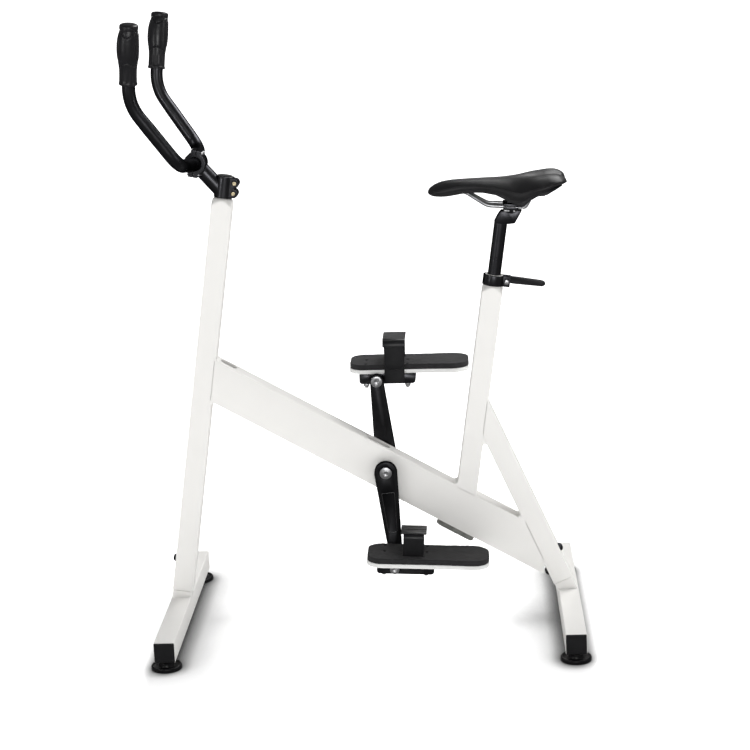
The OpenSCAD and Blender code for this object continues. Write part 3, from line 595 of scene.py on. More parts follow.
def cone_r(z, z1):
    """Radius of the cone that rounds a tube's top off."""
    rows = [(z1 - 60, 76.0), (z1 - 14.2, 28.5), (z1 - 1.0, 18.3), (z1 - 0.5, 17.9), (z1 - 0.2, 17.4), (z1, 16.8)]
    if z <= rows[0][0]:
        return rows[0][1]
    for (a, ra), (b, rb) in zip(rows, rows[1:]):
        if z <= b:
            return ra + (rb - ra) * (z - a) / (b - a)
    return rows[-1][1]


def soft_min(a, b, k=0.45):
    if abs(a - b) > 12:
        return min(a, b)
    return -k * math.log(exp(-(a - min(a, b)) / k) + exp(-(b - min(a, b)) / k)) + min(a, b)


def topped_tube(name, m, lo, z1, node, neck=None):
    prof = rrect(20, 20, RC, 7, flat=8)
    zs = axis(m, (0, 0, 1))
    start = [m @ Vector((x, y, 0)) for x, y in prof]
    rings = [[q + zs * lo(q) for q in [m @ Vector((x * 0.985, y * 0.985, 0)) for x, y in prof]],
             [q + zs * (lo(q) + 0.35) for q in start]]
    hs = [z1 - 26, z1 - 20] + [z1 - 14.6 + 13.6 * k / 16 for k in range(17)] + [z1 - 0.5, z1 - 0.2, z1]
    for h in hs:
        c = cone_r(h, z1)
        ring = []
        for x, y in prof:
            d = sqrt(x * x + y * y)
            f = soft_min(d, c) / d
            ring.append(m @ Vector((x * f, y * f, h)))
        rings.append(ring)
    if neck:
        outer, top, bore, deep = neck
        for r, h in ((outer, z1), (outer, top - 0.4), (outer - 0.4, top), (bore + 0.2, top), (bore, top - 0.3), (bore, top - deep)):
            rings.append([m @ Vector((x * r / sqrt(x * x + y * y), y * r / sqrt(x * x + y * y), h)) for x, y in prof])
    V, F = loft(rings)
    return mesh(name, V, F, "frame_coat", BODY[node], rep=(node,), smooth=30)


post = topped_tube("front_post_skin", POST, flat_end(POST, 0.15), POST_LEN, "front_post")
seat = topped_tube("seat_tube_skin", SEAT, plane_end(SEAT, BEAM @ Vector((0, 0, 36.8)), axis(BEAM, (0, 0, 1))), SEAT_LEN,
                   "seat_tube", neck=(17.5, SEAT_LEN + 21, 14.5, 80))
V, F = loft([[(x, y, z) for x, y in ((0, -1.5), (30, -1.5), (30, 1.5), (0, 1.5))] for z in (SEAT_LEN - 9, SEAT_LEN + 40)])
cut(seat, V, F, SEAT)

# rear strut: from its joint with the rear spigot up to the seat tube's back
strut = prism("rear_strut_skin", TUBE, STRUT, flat_end(STRUT, 0.15),
              plane_end(STRUT, SEAT @ Vector((16.8, 0, 0)), axis(SEAT, (1, 0, 0))), "rear_strut")

# main beam: outline in local Y and Z, along local X
BEAM_X = BEAM @ Matrix(((0, 0, 1, 0), (0, 1, 0, 0), (-1, 0, 0, 0), (0, 0, 0, 1)))   # local Z runs along the beam, local X points down
p_front, n_front = POST @ Vector((16.8, 0, 0)), axis(POST, (1, 0, 0))
p_rear, n_rear = STRUT @ Vector((-16.8, 0, 0)), axis(STRUT, (1, 0, 0))
end_a, end_b = plane_end(BEAM_X, p_rear, n_rear), plane_end(BEAM_X, (341, 0, 0), (1, 0, 0))
# level of the outline at which both rear cuts meet
kink = min((abs(end_a(BEAM_X @ Vector((x / 10, 0, 0))) - end_b(BEAM_X @ Vector((x / 10, 0, 0)))), x / 10) for x in range(-400, 401))[1]
prof = rrect(40, 20, RC, 6)
i_hi = [i for i in range(len(prof)) if prof[i][0] > kink >= prof[(i + 1) % len(prof)][0] and abs(prof[i][1]) > 19.9]
i_lo = [i for i in range(len(prof)) if prof[i][0] < kink <= prof[(i + 1) % len(prof)][0] and abs(prof[i][1]) > 19.9]
out = []
for i, p in enumerate(prof):
    out.append(p)
    if i in i_hi or i in i_lo:
        out.append((kink, p[1]))
beam = prism("main_beam_skin", out, BEAM_X, plane_end(BEAM_X, p_front, n_front), lambda q: min(end_a(q), end_b(q)), "main_beam")


def slot_solid(length, width, z0, z1, n=12):
    h = (length - width) / 2
    ring = [(h + width / 2 * cos(radians(a)), width / 2 * sin(radians(a))) for a in [-90 + 180 * k / n for k in range(n + 1)]]
    ring += [(-h + width / 2 * cos(radians(a)), width / 2 * sin(radians(a))) for a in [90 + 180 * k / n for k in range(n + 1)]]
    return loft([[(x, y, z0) for x, y in ring], [(x, y, z1) for x, y in ring]])


# the hollow inside, then the two slots into it
V, F = loft([[(x, y, z) for x, y in rrect(34, 18, 1.5, 3)] for z in (-392, 290)])
cut(beam, V, F, BEAM_X)
for x, l in ((-371.5, 36), (-39.5, 53)):
    V, F = slot_solid(l, 22, 30, 60)
    cut(beam, V, F, BEAM @ Matrix.Translation((x, 0, 0)))
# the bracket shell's hole through both sides
V, F = lathe([(0, -60), (20.05, -60), (20.05, 60), (0, 60)], 72)
cut(beam, V, F, Matrix.Translation(CRANK_P) @ Matrix.Rotation(radians(90), 4, "X"))


# spigots on the cross feet, run down over the tubes' rounded edges
def spigot(name, m, node):
    top = flat_end(m, -0.9)
    z = 54.6
    prism(name, rrect(19, 19, RC - 0.5, 6), m, plane_end(m, (0, 0, z), (0, 0, 1)), top, node)


spigot("front_spigot_skin", POST, "front_spigot")
spigot("rear_spigot_skin", STRUT, "rear_spigot")


# concave weld between two faces, ground smooth
def fillet(name, P, n1, n2, r, along, half, body="frame", rc=2.3, k_n=9, sink=0.6):
    along = Vector(along)
    n1, n2 = Vector(n1), Vector(n2)
    steps = [-half + 2 * half * k / 40 for k in range(41)]
    if rc:
        extra = [half - rc + rc * sin(radians(a)) for a in (15, 30, 45, 60, 75, 88)]
        steps = sorted([s for s in steps if abs(s) < half - rc] + [half - rc, -half + rc] + extra + [-e for e in extra])
    rings = []
    c = n1.dot(n2)
    for s in steps:
        d = 0.0
        if rc and abs(s) > half - rc:
            d = rc - sqrt(max(0.0, rc * rc - (abs(s) - half + rc) ** 2))
        rr = r * (1 + 0.045 * sin(s * 0.9) + 0.03 * sin(s * 2.1 + 1.0))

        def at_depth(e):            # the point in the section whose distance to both faces is e
            k = e / (1 + c)
            return P + n1 * k + n2 * k + along * s
        C = at_depth(-d + rr)
        a1, a2 = C - n1 * rr, C - n2 * rr
        arc = []
        t = math.acos(max(-1, min(1, c)))
        for k in range(k_n + 1):
            f = k / k_n
            w1, w2 = sin((1 - f) * t) / sin(t), sin(f * t) / sin(t)
            arc.append(C - (n1 * w1 + n2 * w2) * rr)
        rings.append([a1 - n1 * sink] + arc + [a2 - n2 * sink, at_depth(-d - sink)])
    V, F = loft(rings)
    return mesh(name, V, F, "frame_coat", body, smooth=50)


def meet(p1, n1, p2, n2):
    """Point in the middle plane where two faces meet."""
    a, b, c_, d = n1.x, n1.z, n2.x, n2.z
    e, f = n1.dot(p1), n2.dot(p2)
    det = a * d - b * c_
    return Vector(((e * d - b * f) / det, 0, (a * f - e * c_) / det))


def weld(name, A, B, r, **kw):
    (pa, na), (pb, nb) = A, B
    return fillet(name, meet(pa, na, pb, nb), na, nb, r, (0, 1, 0), 20, **kw)


F_post_back = (POST @ Vector((20, 0, 0)), axis(POST, (1, 0, 0)))
F_beam_top = (BEAM @ Vector((0, 0, 40)), axis(BEAM, (0, 0, 1)))
F_beam_bot = (BEAM @ Vector((0, 0, -40)), axis(BEAM, (0, 0, -1)))
F_seat_front = (SEAT @ Vector((-20, 0, 0)), axis(SEAT, (-1, 0, 0)))
F_seat_back = (SEAT @ Vector((20, 0, 0)), axis(SEAT, (1, 0, 0)))
F_strut_front = (STRUT @ Vector((-20, 0, 0)), axis(STRUT, (-1, 0, 0)))
F_strut_back = (STRUT @ Vector((20, 0, 0)), axis(STRUT, (1, 0, 0)))
weld("weld_post_beam_top", F_post_back, F_beam_top, 4.5)
weld("weld_post_beam_bottom", F_post_back, F_beam_bot, 5)
weld("weld_beam_seat_front", F_beam_top, F_seat_front, 7)
weld("weld_beam_seat_back", F_beam_top, F_seat_back, 4)
weld("weld_seat_strut_inner", F_seat_back, F_strut_front, 4)
weld("weld_seat_strut_outer", F_seat_back, F_strut_back, 8)
weld("weld_beam_strut_inner", F_beam_top, F_strut_front, 4)
weld("weld_beam_strut_outer", (Vector((341, 0, 0)), Vector((1, 0, 0))), F_strut_front, 1.6)
for nm, m in (("front", POST), ("rear", STRUT)):
    zx = axis(m, (0, 0, 1))
    foot = m @ (Vector((0, 0, 0)))
    s = (FOOT_TOP - foot.z) / zx.z
    c = foot + zx * s
    for side in (-1, 1):
        fillet("weld_%s_spigot_%s" % (nm, "left" if side < 0 else "right"), Vector((c.x, side * 19, FOOT_TOP)), (0, side, 0), (0, 0, 1),
               3.0, (1, 0, 0), 17.0, rc=0)


# cross feet: square tube with its rim open at both ends round the black caps
def foot_tube(name, sx, node):
    o, i = rrect(20, 20, RC, 6), rrect(18, 18, 1.4, 6)

    def ring(p, y):
        return [(sx * FOOT_X + x, y, 37.6 + z) for x, z in p]
    oo, ii = rrect(19.7, 19.7, RC - 0.3, 6), rrect(18.3, 18.3, 1.6, 6)
    rings = [ring(i, -250), ring(i, -264.7), ring(ii, -265), ring(oo, -265), ring(o, -264.5),
             ring(o, 264.5), ring(oo, 265), ring(ii, 265), ring(i, 264.7), ring(i, 250)]
    V, F = loft(rings)
    return mesh(name, V, F, "frame_coat", BODY[node], rep=(node,), smooth=30)


foot_tube("front_foot_skin", -1, "front_foot_tube")
foot_tube("rear_foot_skin", 1, "rear_foot_tube")

# end caps, slightly crowned, with a thin rim and a shallow moulded field
parts = []
for sx in (-1, 1):
    for sy in (-1, 1):
        def ring(h, r, y):
            return [(sx * FOOT_X + x, sy * y, 37.6 + z) for x, z in rrect(h, h, r, 5)]
        parts.append(loft([ring(17.9, 1.4, 256), ring(17.95, 1.4, 265.04), ring(19.2, 1.8, 265.06), ring(19.5, 2.1, 265.3), ring(19.5, 2.1, 266.0),
                           ring(19.1, 2.0, 266.5), ring(18.2, 1.8, 266.75), ring(16.0, 1.4, 266.7), ring(15.5, 1.2, 266.2), ring(14.8, 1.2, 266.1),
                           ring(12, 1.5, 266.2), ring(6, 1.5, 266.3)]))
V, F = join(parts)
mesh("end_caps", V, F, "black_plastic", "frame", rep=("foot_end_caps",), smooth=35)

# levelling feet
prof_foot = [(0, 0), (27.4, 0), (28.6, 0.25), (29.2, 0.9), (29.2, 2.1), (28.7, 2.4), (28.7, 2.7), (29.2, 3.0), (29.3, 4.4), (29.2, 6.0),
             (28.7, 7.2), (27.8, 7.9), (26.6, 8.0), (25.5, 7.4), (24.6, 6.4), (23.4, 6.0), (17.0, 6.0), (15.6, 6.4), (14.8, 7.6), (14.4, 12.2), (13.9, 12.8), (13.1, 13.0),
             (6.2, 13.0), (5.4, 13.3), (4.7, 13.6)]
z = 13.6
while z < 50:                      # the threaded stud
    prof_foot += [(5.0, z + 0.35), (5.0, z + 0.6), (4.35, z + 1.15)]
    z += 1.5
prof_foot += [(4.3, 51.2), (0, 51.6)]
for fx, sx in (("front", -1), ("rear", 1)):
    for fy, sy in (("left", -1), ("right", 1)):
        node = "levelling_foot_%s_%s" % (fx, fy)
        V, F = lathe(prof_foot, 80)
        mesh(node + "_disc", V, F, "rubber_foot", BODY[node], Matrix.Translation((sx * FOOT_X, sy * 246, 0)), rep=(node,), smooth=32)

# ------------------------------------------------------------------ bottom bracket, bolts, anode, small hardware
refine("bottom_bracket_shell", "frame_coat", 0.7)
refine("crank_bushes", "black_plastic", 0.4)
refine("frame_bolts", "black_metal", 0.35, smooth=40)
refine("corrosion_anode", "anode", 1.6, 3)
refine("anode_screws", "steel", 0.35)
refine("steerer_tube", "frame_coat", 0.4)
refine("steerer_cap", "black_plastic", 0.5)
keep_node("steerer_support", "frame_coat")
refine("seat_tube_liner", "black_plastic", 0.25)
keep_node("foot_nuts", "steel")

# ------------------------------------------------------------------ stem
def remeshed(node, name, mat, voxel, smooth_n, push):
    """The CAD shape with its edges softened all round, and its face pushed out a little where push says so."""
    me = NODES[node].data.copy()
    o = bpy.data.objects.new("tmp_" + name, me)
    bpy.context.scene.collection.objects.link(o)
    wd = o.modifiers.new("weld", "WELD")
    wd.merge_threshold = 3e-6
    q = o.modifiers.new("remesh", "REMESH")
    q.mode, q.voxel_size = "VOXEL", voxel * MM
    s = o.modifiers.new("smooth", "SMOOTH")
    s.factor, s.iterations = 0.5, smooth_n
    bpy.context.view_layer.update()
    new = bpy.data.meshes.new_from_object(o.evaluated_get(bpy.context.evaluated_depsgraph_get()))
    bpy.data.objects.remove(o)
    bm = bmesh.new()
    bm.from_mesh(new)
    bpy.data.meshes.remove(new)
    bm.normal_update()
    for v in bm.verts:
        v.co += v.normal * (push(v.co) if push else 0.0) * MM
    return finish_mesh(name, bm, mat, BODY[node], rep=(node,), smooth=60, closed=False, scale=False)


remeshed("stem_body", "stem_casting", "black_metal", 0.7, 3, None)
remeshed("stem_face_plate", "face_plate_casting", "black_metal", 0.6, 3, None)
refine("stem_pinch_bolts", "brass", 0.3)
refine("face_plate_bolts", "steel", 0.4)

# ------------------------------------------------------------------ handlebar
HB = [Vector(p) for p in ((-309.5, 0, 932), (-309.5, 34, 932), (-321, 140.4, 944.4), (-402.7, 165.6, 1063.7), (-388.6, 187.6, 1207))]


def bent_path(pts, radii, step=3.0):
    out = [(pts[0], (pts[1] - pts[0]).normalized())]
    for k, rad in enumerate(radii, 1):
        a, b, c = pts[k - 1], pts[k], pts[k + 1]
        u, v = (b - a).normalized(), (c - b).normalized()
        t = u.angle(v)
        m = u.cross(v).normalized()
        i = m.cross(u)
        o = b - u * rad * math.tan(t / 2) + i * rad
        n = max(3, int(math.degrees(t) / step))
        for q in range(n + 1):
            f = t * q / n
            out.append((o + rad * (-cos(f) * i + sin(f) * u), sin(f) * i + cos(f) * u))
    out.append((pts[-1], (pts[-1] - pts[-2]).normalized()))
    # even pieces along the straight stretches
    full = [out[0]]
    for p, d in out[1:]:
        q, e = full[-1]
        l = (p - q).length
        n = int(l / 12)
        for k in range(1, n):
            full.append((q + (p - q) * k / n, (e + (d - e) * k / n).normalized()))
        full.append((p, d))
    return full


def swept(path, radius, n=40, squash=None):
    """A round bar along a path; radius is a function of the distance travelled."""
    rings, s, prev = [], 0.0, None
    ref = Vector((1, 0, 0))
    for p, d in path:
        if prev is not None:
            s += (p - prev).length
        prev = p
        a = ref.cross(d).normalized()
        b = d.cross(a)
        r = radius(s)
        rings.append([p + r * (cos(2 * pi * k / n) * a + sin(2 * pi * k / n) * b) for k in range(n)])
    return loft(rings)


half = bent_path(HB, (60, 37, 89))
mir = [(Vector((p.x, -p.y, p.z)), Vector((-d.x, d.y, -d.z))) for p, d in half]
path = list(reversed(mir))[:-1] + half
run = [0.0]
for (a, _), (b, _) in zip(half, half[1:]):
    run.append(run[-1] + (b - a).length)
whole = 2 * run[-1]
# where the bend below the grip starts, measured from the middle
u3, v3 = (HB[3] - HB[2]).normalized(), (HB[4] - HB[3]).normalized()
e2 = HB[3] - u3 * 89 * math.tan(u3.angle(v3) / 2)
s2 = min((abs((p - e2).length), run[i]) for i, (p, d) in enumerate(half))[1]


def bar_radius(s):
    d = abs(s - whole / 2)
    return 12.7 - 0.5 * smooth_step((d - (s2 - 26)) / 26)


V, F = swept(path, bar_radius, 44)
mesh("handlebar_tube", V, F, "black_metal", BODY["handlebar"], rep=("handlebar",), smooth=40)


# grips: turned body, oval in places, with moulded creases
def grip(name, node, side):
    e = Vector((HB[4].x, side * HB[4].y, HB[4].z))
    q = Vector((HB[3].x, side * HB[3].y, HB[3].z))
    g = (e - q).normalized()
    out = Vector((0, -1, 0))                # towards the viewer's side
    out = (out - g * out.dot(g)).normalized()
    lat = g.cross(out).normalized()         # to the right as seen from there
    # outline towards the bar's front (the palm swell) and towards the rider
    ring_top = [(-8.2, 16.3), (-7.4, 17.0), (-6.7, 17.2), (-2.5, 17.1), (-0.6, 16.6), (0.9, 15.2), (1.9, 12.6), (2.5, 9.0)]
    front_o = [(-109, 15.9), (-108.2, 16.9), (-106.0, 17.1), (-104.9, 16.7), (-103, 16.3), (-96, 16.1), (-87, 16.2), (-80, 16.8), (-70, 18.4), (-62, 20.0), (-52, 21.4),
               (-44, 21.8), (-34, 21.6), (-26, 20.7), (-18, 19.0), (-12, 17.4)] + ring_top
    rear_o = [(-109, 15.9), (-108.2, 16.9), (-106.0, 17.1), (-104.9, 16.6), (-103, 16.1), (-96, 15.8), (-87, 15.7), (-80, 15.9), (-70, 16.7), (-62, 17.8), (-52, 18.6),
              (-44, 18.8), (-34, 18.7), (-26, 18.4), (-18, 18.0), (-12, 17.1)] + ring_top
    n, zs = 168, []
    s = -109.0
    while s < 2.5:
        zs.append(s)
        s += 0.35 if (s < -104 or s > -9.5) else 0.75
    zs.append(2.5)

    def crease(v, width):
        return exp(-(v / width) ** 2)

    rings = []
    for s in zs:
        rf, rr = table(s, front_o), table(s, rear_o)
        drift = -0.8 * smooth_step((-55 - s) / 35)      # the waist sits a little forward
        ring = []
        for k in range(n):
            f = 2 * pi * k / n               # 0 towards the viewer, growing to the right
            c, w_ = cos(f), sin(f)
            e2w = 0.5 - 0.5 * w_
            e2w = e2w * e2w * (3 - 2 * e2w)
            r0 = rr + (rf - rr) * e2w
            # a little flatter towards the sides
            bulge = smooth_step((s + 88) / 30) * smooth_step((-12 - s) / 18)
            r = r0 - bulge * 0.9 * c * c
            both = min(abs(math.atan2(w_, c)), abs(math.atan2(w_, -c)))   # angle from the viewer's side or the far side
            # the U under the end ring
            sU = -21.0 + 12.0 * smooth_step(both / radians(62))
            d = 0.0
            if both < radians(66):
                d = max(d, 1.3 * crease(s - sU, 1.15) * smooth_step((radians(66) - both) / radians(6)))
                if sU < s < -8.5:
                    r += 0.25 * smooth_step((s - sU) / 1.5)
            # the arch above the waist
            sA = -66.5 - 7.5 * smooth_step(both / radians(62))
            if both < radians(70):
                d = max(d, 1.3 * crease(s - sA, 1.15) * smooth_step((radians(70) - both) / radians(8)))
            # the oval panels fore and aft
            across = pi / 2 - both
            h = (s + 39) / 27.0
            if abs(h) < 1.15:
                w0 = radians(38) * sqrt(max(0.0, 1 - h * h)) if abs(h) < 1 else 0.0
                edge_d = (across - w0) * r0
                dist = abs(edge_d) if w0 > 0 else 99
                if abs(h) > 0.9:
                    rad = sqrt((across / radians(38)) ** 2 + h * h)
                    dist = min(dist, abs(rad - 1) * 25)
                d = max(d, 1.2 * crease(dist, 1.1))
                if across < w0 - 0.04:
                    # low ribs across the panel
                    r += 0.35 * (0.5 + 0.5 * cos(2 * pi * s / 3.4)) * smooth_step((w0 - across) * r0 / 2.0) * 0.9
            # long flutes in the waist
            fl = smooth_step((s + 103.5) / 5) * smooth_step((-78 - s) / 8)
            r += 0.32 * fl * cos(12 * f)
            r -= d
            ring.append(e + g * s + lat * drift + (out * c + lat * w_) * r)
        rings.append(ring)
    V, F = loft(rings)
    mesh(name, V, F, "grip_rubber", BODY[node], rep=(node,), smooth=55)


grip("left_grip_rubber", "left_grip", -1)
grip("right_grip_rubber", "right_grip", 1)

# ------------------------------------------------------------------ seat clamp, post, cradles
refine("seat_collar", "black_metal", 0.9, 3)
refine("collar_skewer", "steel", 0.5)
refine("collar_lever", "black_plastic", 1.3, 3)
V, F = lathe([(10.5, -149), (12.4, -149), (12.7, -148.6), (12.7, 121.6), (12.4, 122), (10.5, 122)], 96)
mesh("seat_post_tube", V, F, "black_metal", "post", SEAT @ Matrix.Translation((0, 0, SEAT_LEN)), rep=("seat_post",), smooth=35)
refine("seat_post_head", "black_metal", 0.8, 2)
refine("lower_rail_cradle", "black_metal", 0.8)
refine("upper_rail_cradle", "black_metal", 0.8)
refine("cradle_bolt", "steel", 0.4)

# heads of the two side screws under the clamp plate
parts = []
for side in (-1, 1):
    for x0, x1 in ((-12.5, -2.5), (5.0, 8.4)):
        parts.append(loft([[(x, side * (27.3 - d), z) for x, z in ((x0 + i, -8.4 + i), (x1 - i, -8.4 + i), (x1 - i, -5.6 - i), (x0 + i, -5.6 - i))]
                           for d, i in ((2.5, 0), (0.4, 0), (0, 0.4))]))
V, F = join(parts)
mesh("cradle_side_screws", V, F, "steel", "cradle", CRADLE, smooth=30)

# ------------------------------------------------------------------ saddle
RAIL = [Vector(p) for p in ((172, 7, 863), (204, 10, 861), (246, 22, 831 + 44.5 * math.tan(radians(4.7))), (318, 22, 831 - 27.5 * math.tan(radians(4.7))),
                            (334, 26, 857), (350, 26, 858))]
parts = []
for side in (-1, 1):
    pts = [Vector((p.x, side * p.y, p.z)) for p in RAIL]
    pth = bent_path(pts, (30, 30, 9, 9), 5)
    parts.append(swept(pth, lambda s: 3.5, 24))
V, F = join(parts)
# the sweep's side vectors turn with the path, so the ends stay square
mesh("saddle_rail_wires", V, F, "steel", "saddle", rep=("saddle_rails",), smooth=60)

S_W = [(133.2, 2.5), (134.5, 7.5), (137, 11.5), (140, 14.6), (145, 17.4), (150, 18.9), (168, 20.6), (195, 22.6), (214, 25), (232, 28), (250, 33), (262, 38.2), (284, 50),
       (300, 59), (314, 65.5), (326, 70), (340, 73.4), (358, 75), (368, 74.2), (376, 72), (383, 68.4), (389, 62), (393, 55), (395.6, 47.5), (397, 38)]
S_T = [(133.2, 862), (134.5, 866), (137, 869.2), (140, 871.6), (145, 875), (150, 877.4), (158, 880.4), (168, 882.4), (186, 884.4), (214, 885.4), (243, 885.8), (270, 886), (300, 888.4),
       (330, 891.6), (350, 893.6), (366, 895), (376, 894.6), (384, 892.6), (390, 889.6), (394, 886.4), (396, 883.6), (397, 880.8)]
S_B = [(133.2, 859.6), (137.4, 856), (146.9, 853.6), (160, 852.9), (170, 853.4), (185, 855.5), (204, 858.4), (222, 859.6), (240, 859.2), (261, 856.4), (275, 852), (285, 846.5),
       (294, 842), (303, 839.4), (311, 838.6), (318, 842), (325, 849.6), (333, 856), (344, 859.2), (359, 865), (372, 871.8), (382, 874.8), (390, 876.4), (395, 877.6), (397, 878.8)]
S_C = [(133.2, 861.2), (139.5, 863.0), (147, 866.1), (157, 867.2), (176, 871.2), (195, 873.9), (214, 874.9), (233, 875.0), (252, 873.0), (270, 870.2), (289, 866.2), (298, 864.2),
       (307.4, 863.4), (317, 865.2), (326, 868.2), (339, 871.9), (354, 875.6), (369, 880.2), (380, 882.2), (389, 882.2), (394, 881.2), (397, 879.6)]


def saddle_ring(x, n_top=26, n_side=12):
    w0, t, b, c = table(x, S_W), table(x, S_T), table(x, S_B), table(x, S_C)
    c = min(max(c, b + 0.25 * (t - b)), b + 0.80 * (t - b))
    yc = 0.985 * w0
    rear = smooth_step((x - 285) / 60)
    dip = 11.5 * rear * smooth_step((402 - x) / 14)
    groove = 22.0 * w0 / 75

    def crown(y):
        q = min(1.0, abs(y) / yc)
        z = c + (t - c) * max(0.0, cos(pi / 2 * q ** (1.25 + 1.25 * rear))) ** 0.86
        z -= dip * exp(-(y / groove) ** 2) * (t - c) / max(1.0, t - c + 1)
        z -= 0.9 * (1 - rear) * exp(-(y / 7.0) ** 2) * smooth_step((x - 160) / 60)
        return z
    half_ring = []
    for k in range(n_top + 1):
        a = k / n_top
        y = yc * sin(a * pi / 2) ** 0.95
        half_ring.append((y, crown(y)))
    # a welt along the crease, then the side panel, tucked in towards the skirt
    k_w = min(1.0, w0 / 14)
    half_ring += [(yc + 0.55 * k_w, c - 0.45), (yc + 0.50 * k_w, c - 1.1), (yc - 0.35 * k_w, c - 1.7)]
    for k in range(1, n_side + 1):
        f = k / n_side
        z = (c - 1.7) + (b - (c - 1.7)) * f
        y = yc - 0.35 * k_w + k_w * (1.3 * sin(pi * min(1.0, f * 1.3)) - 5.0 * f ** 2.2)
        half_ring.append((y, z + (0.0 if f < 0.97 else 0.2)))
    last = half_ring[-1]
    under = [(max(last[0] - 1.1, 0.4), last[1] + 0.15), (max(last[0] - 2.6, 0.3), last[1] + 1.3)]
    half_ring += under
    # up the inside, back to the middle
    d = table(x, [(134, 5), (168, 9), (232, 11), (300, 15), (397, 9)])
    top_in = lambda y: max(min(crown(y) - d, 1e9), b + 1.4)
    inner = []
    yi = max(under[-1][0] - 0.6, 0.2)
    for k in range(10):
        f = k / 9
        y = yi * (1 - f)
        inner.append((y, min(max(top_in(y), last[1] + 1.3), crown(y) - 0.5) if crown(y) - 0.5 > last[1] + 1.3 else (crown(y) + last[1]) / 2))
    half_all = half_ring + inner
    full = [(y, z) for y, z in half_all] + [(-y, z) for y, z in reversed(half_all[1:-1])]
    ring = []
    for y, z in full:
        notch = 12.0 * exp(-(y / 19.0) ** 2) * smooth_step((x - 322) / 70)
        ring.append((x - notch, y, z))
    return ring


xs = [133.2, 133.6, 134.2, 135, 136, 137.4, 139, 141, 143.5, 146.5, 150, 154]
while xs[-1] < 372:
    xs.append(xs[-1] + (4.0 if 160 < xs[-1] < 280 else 3.2))
xs += [378, 381, 384, 386.5, 388.8, 390.8, 392.4, 393.7, 394.7, 395.5, 396.2, 396.7, 397]
xs = sorted(x for x in set(xs) if x <= 397)
V, F = loft([saddle_ring(x) for x in xs])
saddle = mesh("saddle_skin", V, F, "saddle_cover", "saddle", rep=("saddle_cover",), smooth=50)
refine("saddle_base", "black_plastic", 0.0, smooth=50)

# ------------------------------------------------------------------ crank set
refine("crank_axle", "steel", 0.3)
refine("left_crank", "crank_black", 0.45, 2)
refine("right_crank", "crank_black", 0.45, 2)
refine("crank_bolts", "steel", 0.4)


def bead(y, r_b=0.62):
    """The raised line round a crank's sunk panel."""
    pts = []
    for cx, cz, a0 in ((-9.5, -43, 180), (9.5, -43, 90), (5.6, -118, 0), (-5.6, -118, -90)):
        pts += [(cx + 3.2 * cos(radians(a0 - 15 * k)), cz + 3.2 * sin(radians(a0 - 15 * k))) for k in range(7)]
    rings = []
    for i, (x, z) in enumerate(pts):
        (xa, za), (xb, zb) = pts[i - 1], pts[(i + 1) % len(pts)]
        d = Vector((xb - xa, 0, zb - za)).normalized()
        nrm = Vector((0, 1, 0)).cross(d)
        rings.append([Vector((x, y, z)) + nrm * (r_b * cos(radians(a))) + Vector((0, r_b * sin(radians(a)), 0)) for a in range(0, 360, 45)])
    return loft(rings, wrap=True)


CRANK = Matrix.Translation(CRANK_P) @ Matrix.Rotation(-TURN, 4, "Y")
V, F = bead(42.55)
# the beads take the lighter colour: a painted highlight round each crank's panel
mesh("left_crank_panel_line", V, F, "bead_painted_highlight", "crank", CRANK @ MIRROR, slot="crank_black", smooth=60)
mesh("right_crank_panel_line", V, F, "bead_painted_highlight", "crank", CRANK @ Matrix.Rotation(pi, 4, "Y"), slot="crank_black", smooth=60)
refine("left_pedal_spindle", "steel", 0.6)
refine("right_pedal_spindle", "steel", 0.6)


# ------------------------------------------------------------------ foot plates
def foam(co):
    x, y, z = co / MM
    return 0.10 * sin(x * 0.21 + 1.3 * sin(y * 0.13)) * cos(y * 0.19 + z * 0.1) + 0.06 * sin(x * 0.63) * sin(y * 0.57)


for side in ("left", "right"):
    refine(side + "_pedal_bracket", "black_metal", 0.9, 2)
    refine(side + "_foot_plate", "white_plate", 0.8, 2)
    pad = remeshed(side + "_foot_pad", side + "_foam_pad", "pad_rubber", 1.25, 2, foam)
    refine(side + "_pedal_fixings", "steel", 0.3)


def band(path, x0, x1, t, edge=0.8, end_round=None, n_w=10):
    """A flat band across X from x0 to x1 along a path of (y, z); t is its thickness."""
    pts = [Vector((0, y, z)) for y, z in path]
    tang = []
    for i in range(len(pts)):
        a, b = pts[max(0, i - 1)], pts[min(len(pts) - 1, i + 1)]
        tang.append((b - a).normalized())
    rings = []
    run = [0.0]
    for a, b in zip(pts, pts[1:]):
        run.append(run[-1] + (b - a).length)
    for i, p in enumerate(pts):
        nrm = tang[i].cross(Vector((1, 0, 0))).normalized()
        lo, hi = x0, x1
        if end_round:
            d = run[i]
            if d < end_round:
                f = sqrt(max(0.0, 1 - (1 - d / end_round) ** 2))
                mid, hw = (x0 + x1) / 2, (x1 - x0) / 2
                lo, hi = mid - (hw - end_round) - end_round * f, mid + (hw - end_round) + end_round * f
        e = min(edge, t / 2 - 0.05)
        sec = []
        for cx, cz, a0 in ((hi - e, t / 2 - e, 0), (lo + e, t / 2 - e, 90), (lo + e, -t / 2 + e, 180), (hi - e, -t / 2 + e, 270)):
            for k in range(4):
                a = radians(a0 + 30 * k)
                sec.append((cx + e * cos(a), cz + e * sin(a)))
        rings.append([p + Vector((x, 0, 0)) + nrm * v for x, v in sec])
    return loft(rings)


def arc2(cy, cz, r, a0, a1, n):
    return [(cy + r * cos(radians(a0 + (a1 - a0) * k / n)), cz + r * sin(radians(a0 + (a1 - a0) * k / n))) for k in range(n + 1)]


def line2(a, b, n):
    return [(a[0] + (b[0] - a[0]) * k / n, a[1] + (b[1] - a[1]) * k / n) for k in range(n)]


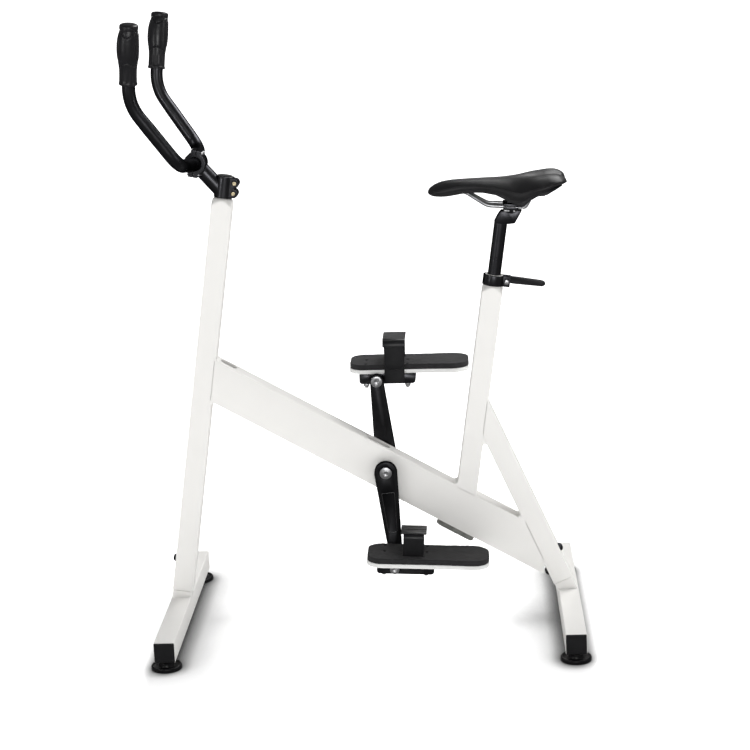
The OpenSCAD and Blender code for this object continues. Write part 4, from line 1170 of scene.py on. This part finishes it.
def strap(name, node, m, h, e, drop, lean=0.0):
    """e is how far the sleeve stands out past the strap on each side, drop how far down the crank's side it comes,
    lean how much higher the outer edge of the loop stands."""
    sag = 0.8

    def leant(path):
        return [(y, z + lean * min(1.0, max(0.0, (y - 57.4) / 57.2)) * min(1.0, max(0.0, (z + 6.9) / (h - 4.1)))) for y, z in path]
    x0, x1 = 15.5, 55.5
    main = line2((48.5, -6.9), (48.5, h - 10.2), 14) + arc2(57.6, h - 10.2, 9.1, 180, 90, 10)
    main += [(y, z - sag * sin(pi * (y - 57.6) / 56.8)) for y, z in line2((57.6 + 5, h - 1.1), (114.4, h - 1.1), 12)]
    main += arc2(114.4, h - 10.2, 9.1, 90, 0, 10) + line2((123.5, h - 11), (123.5, -6.9), 14) + [(123.5, -6.9)]
    tongue = line2((46.4, 18), (46.4, h - 10), 26) + arc2(57.4, h - 10, 11.0, 180, 90, 10)
    tongue += [(y, z - sag * sin(pi * (y - 57.6) / 56.8)) for y, z in line2((62.4, h + 1.0), (114.4, h + 1.0), 12)]
    tongue += arc2(114.6, h - 10, 11.0, 90, 30, 7)
    sleeve = line2((44.65, h - 10 - drop), (44.65, h - 10), 3) + arc2(57.4, h - 10, 12.75, 180, 90, 10)
    sleeve += [(y, z - sag * sin(pi * (y - 57.6) / 56.8)) for y, z in line2((62.4, h + 2.75), (114.4, h + 2.75), 12)]
    sleeve += arc2(114.6, h - 10, 12.75, 90, 50 if lean else 45, 6)
    parts = [band(leant(main), x0, x1, 2.2), band(leant(tongue), x0 + 0.9, x1 - 0.9, 2.3, edge=1.1, end_round=14),
             band(leant(sleeve), x0 - e, x1 + e, 1.8)]
    # moulded ribs along the sleeve's two edges
    a_hi = radians(128)
    ribs = [(43.9, h - 9.6 - drop), (57.4 + 13.5 * cos(a_hi), h - 10 + 13.5 * sin(a_hi))]
    if lean:
        ribs = leant([(114.6 + 13.5 * cos(radians(52)), h - 10 + 13.5 * sin(radians(52))), (97.0, h + 3.3)])
    for yy, zz in ribs:
        ring = [(yy + 0.95 * cos(radians(a)), zz + 0.95 * sin(radians(a))) for a in range(0, 360, 30)]
        parts.append(loft([[(x, y, z) for y, z in ring] for x in (x0 - e + 0.4, x0 - e + 0.7, x1 + e - 0.7, x1 + e - 0.4)]))
    V, F = join(parts)
    mesh(name, V, F, "strap_rubber", BODY[node], m, rep=(node,), smooth=50)


strap("left_strap_band", "left_strap", LEFT, 64.5, 5.0, -1.5, 8.0)
strap("right_strap_band", "right_strap", RIGHT, 77, 2.6, 1.0)
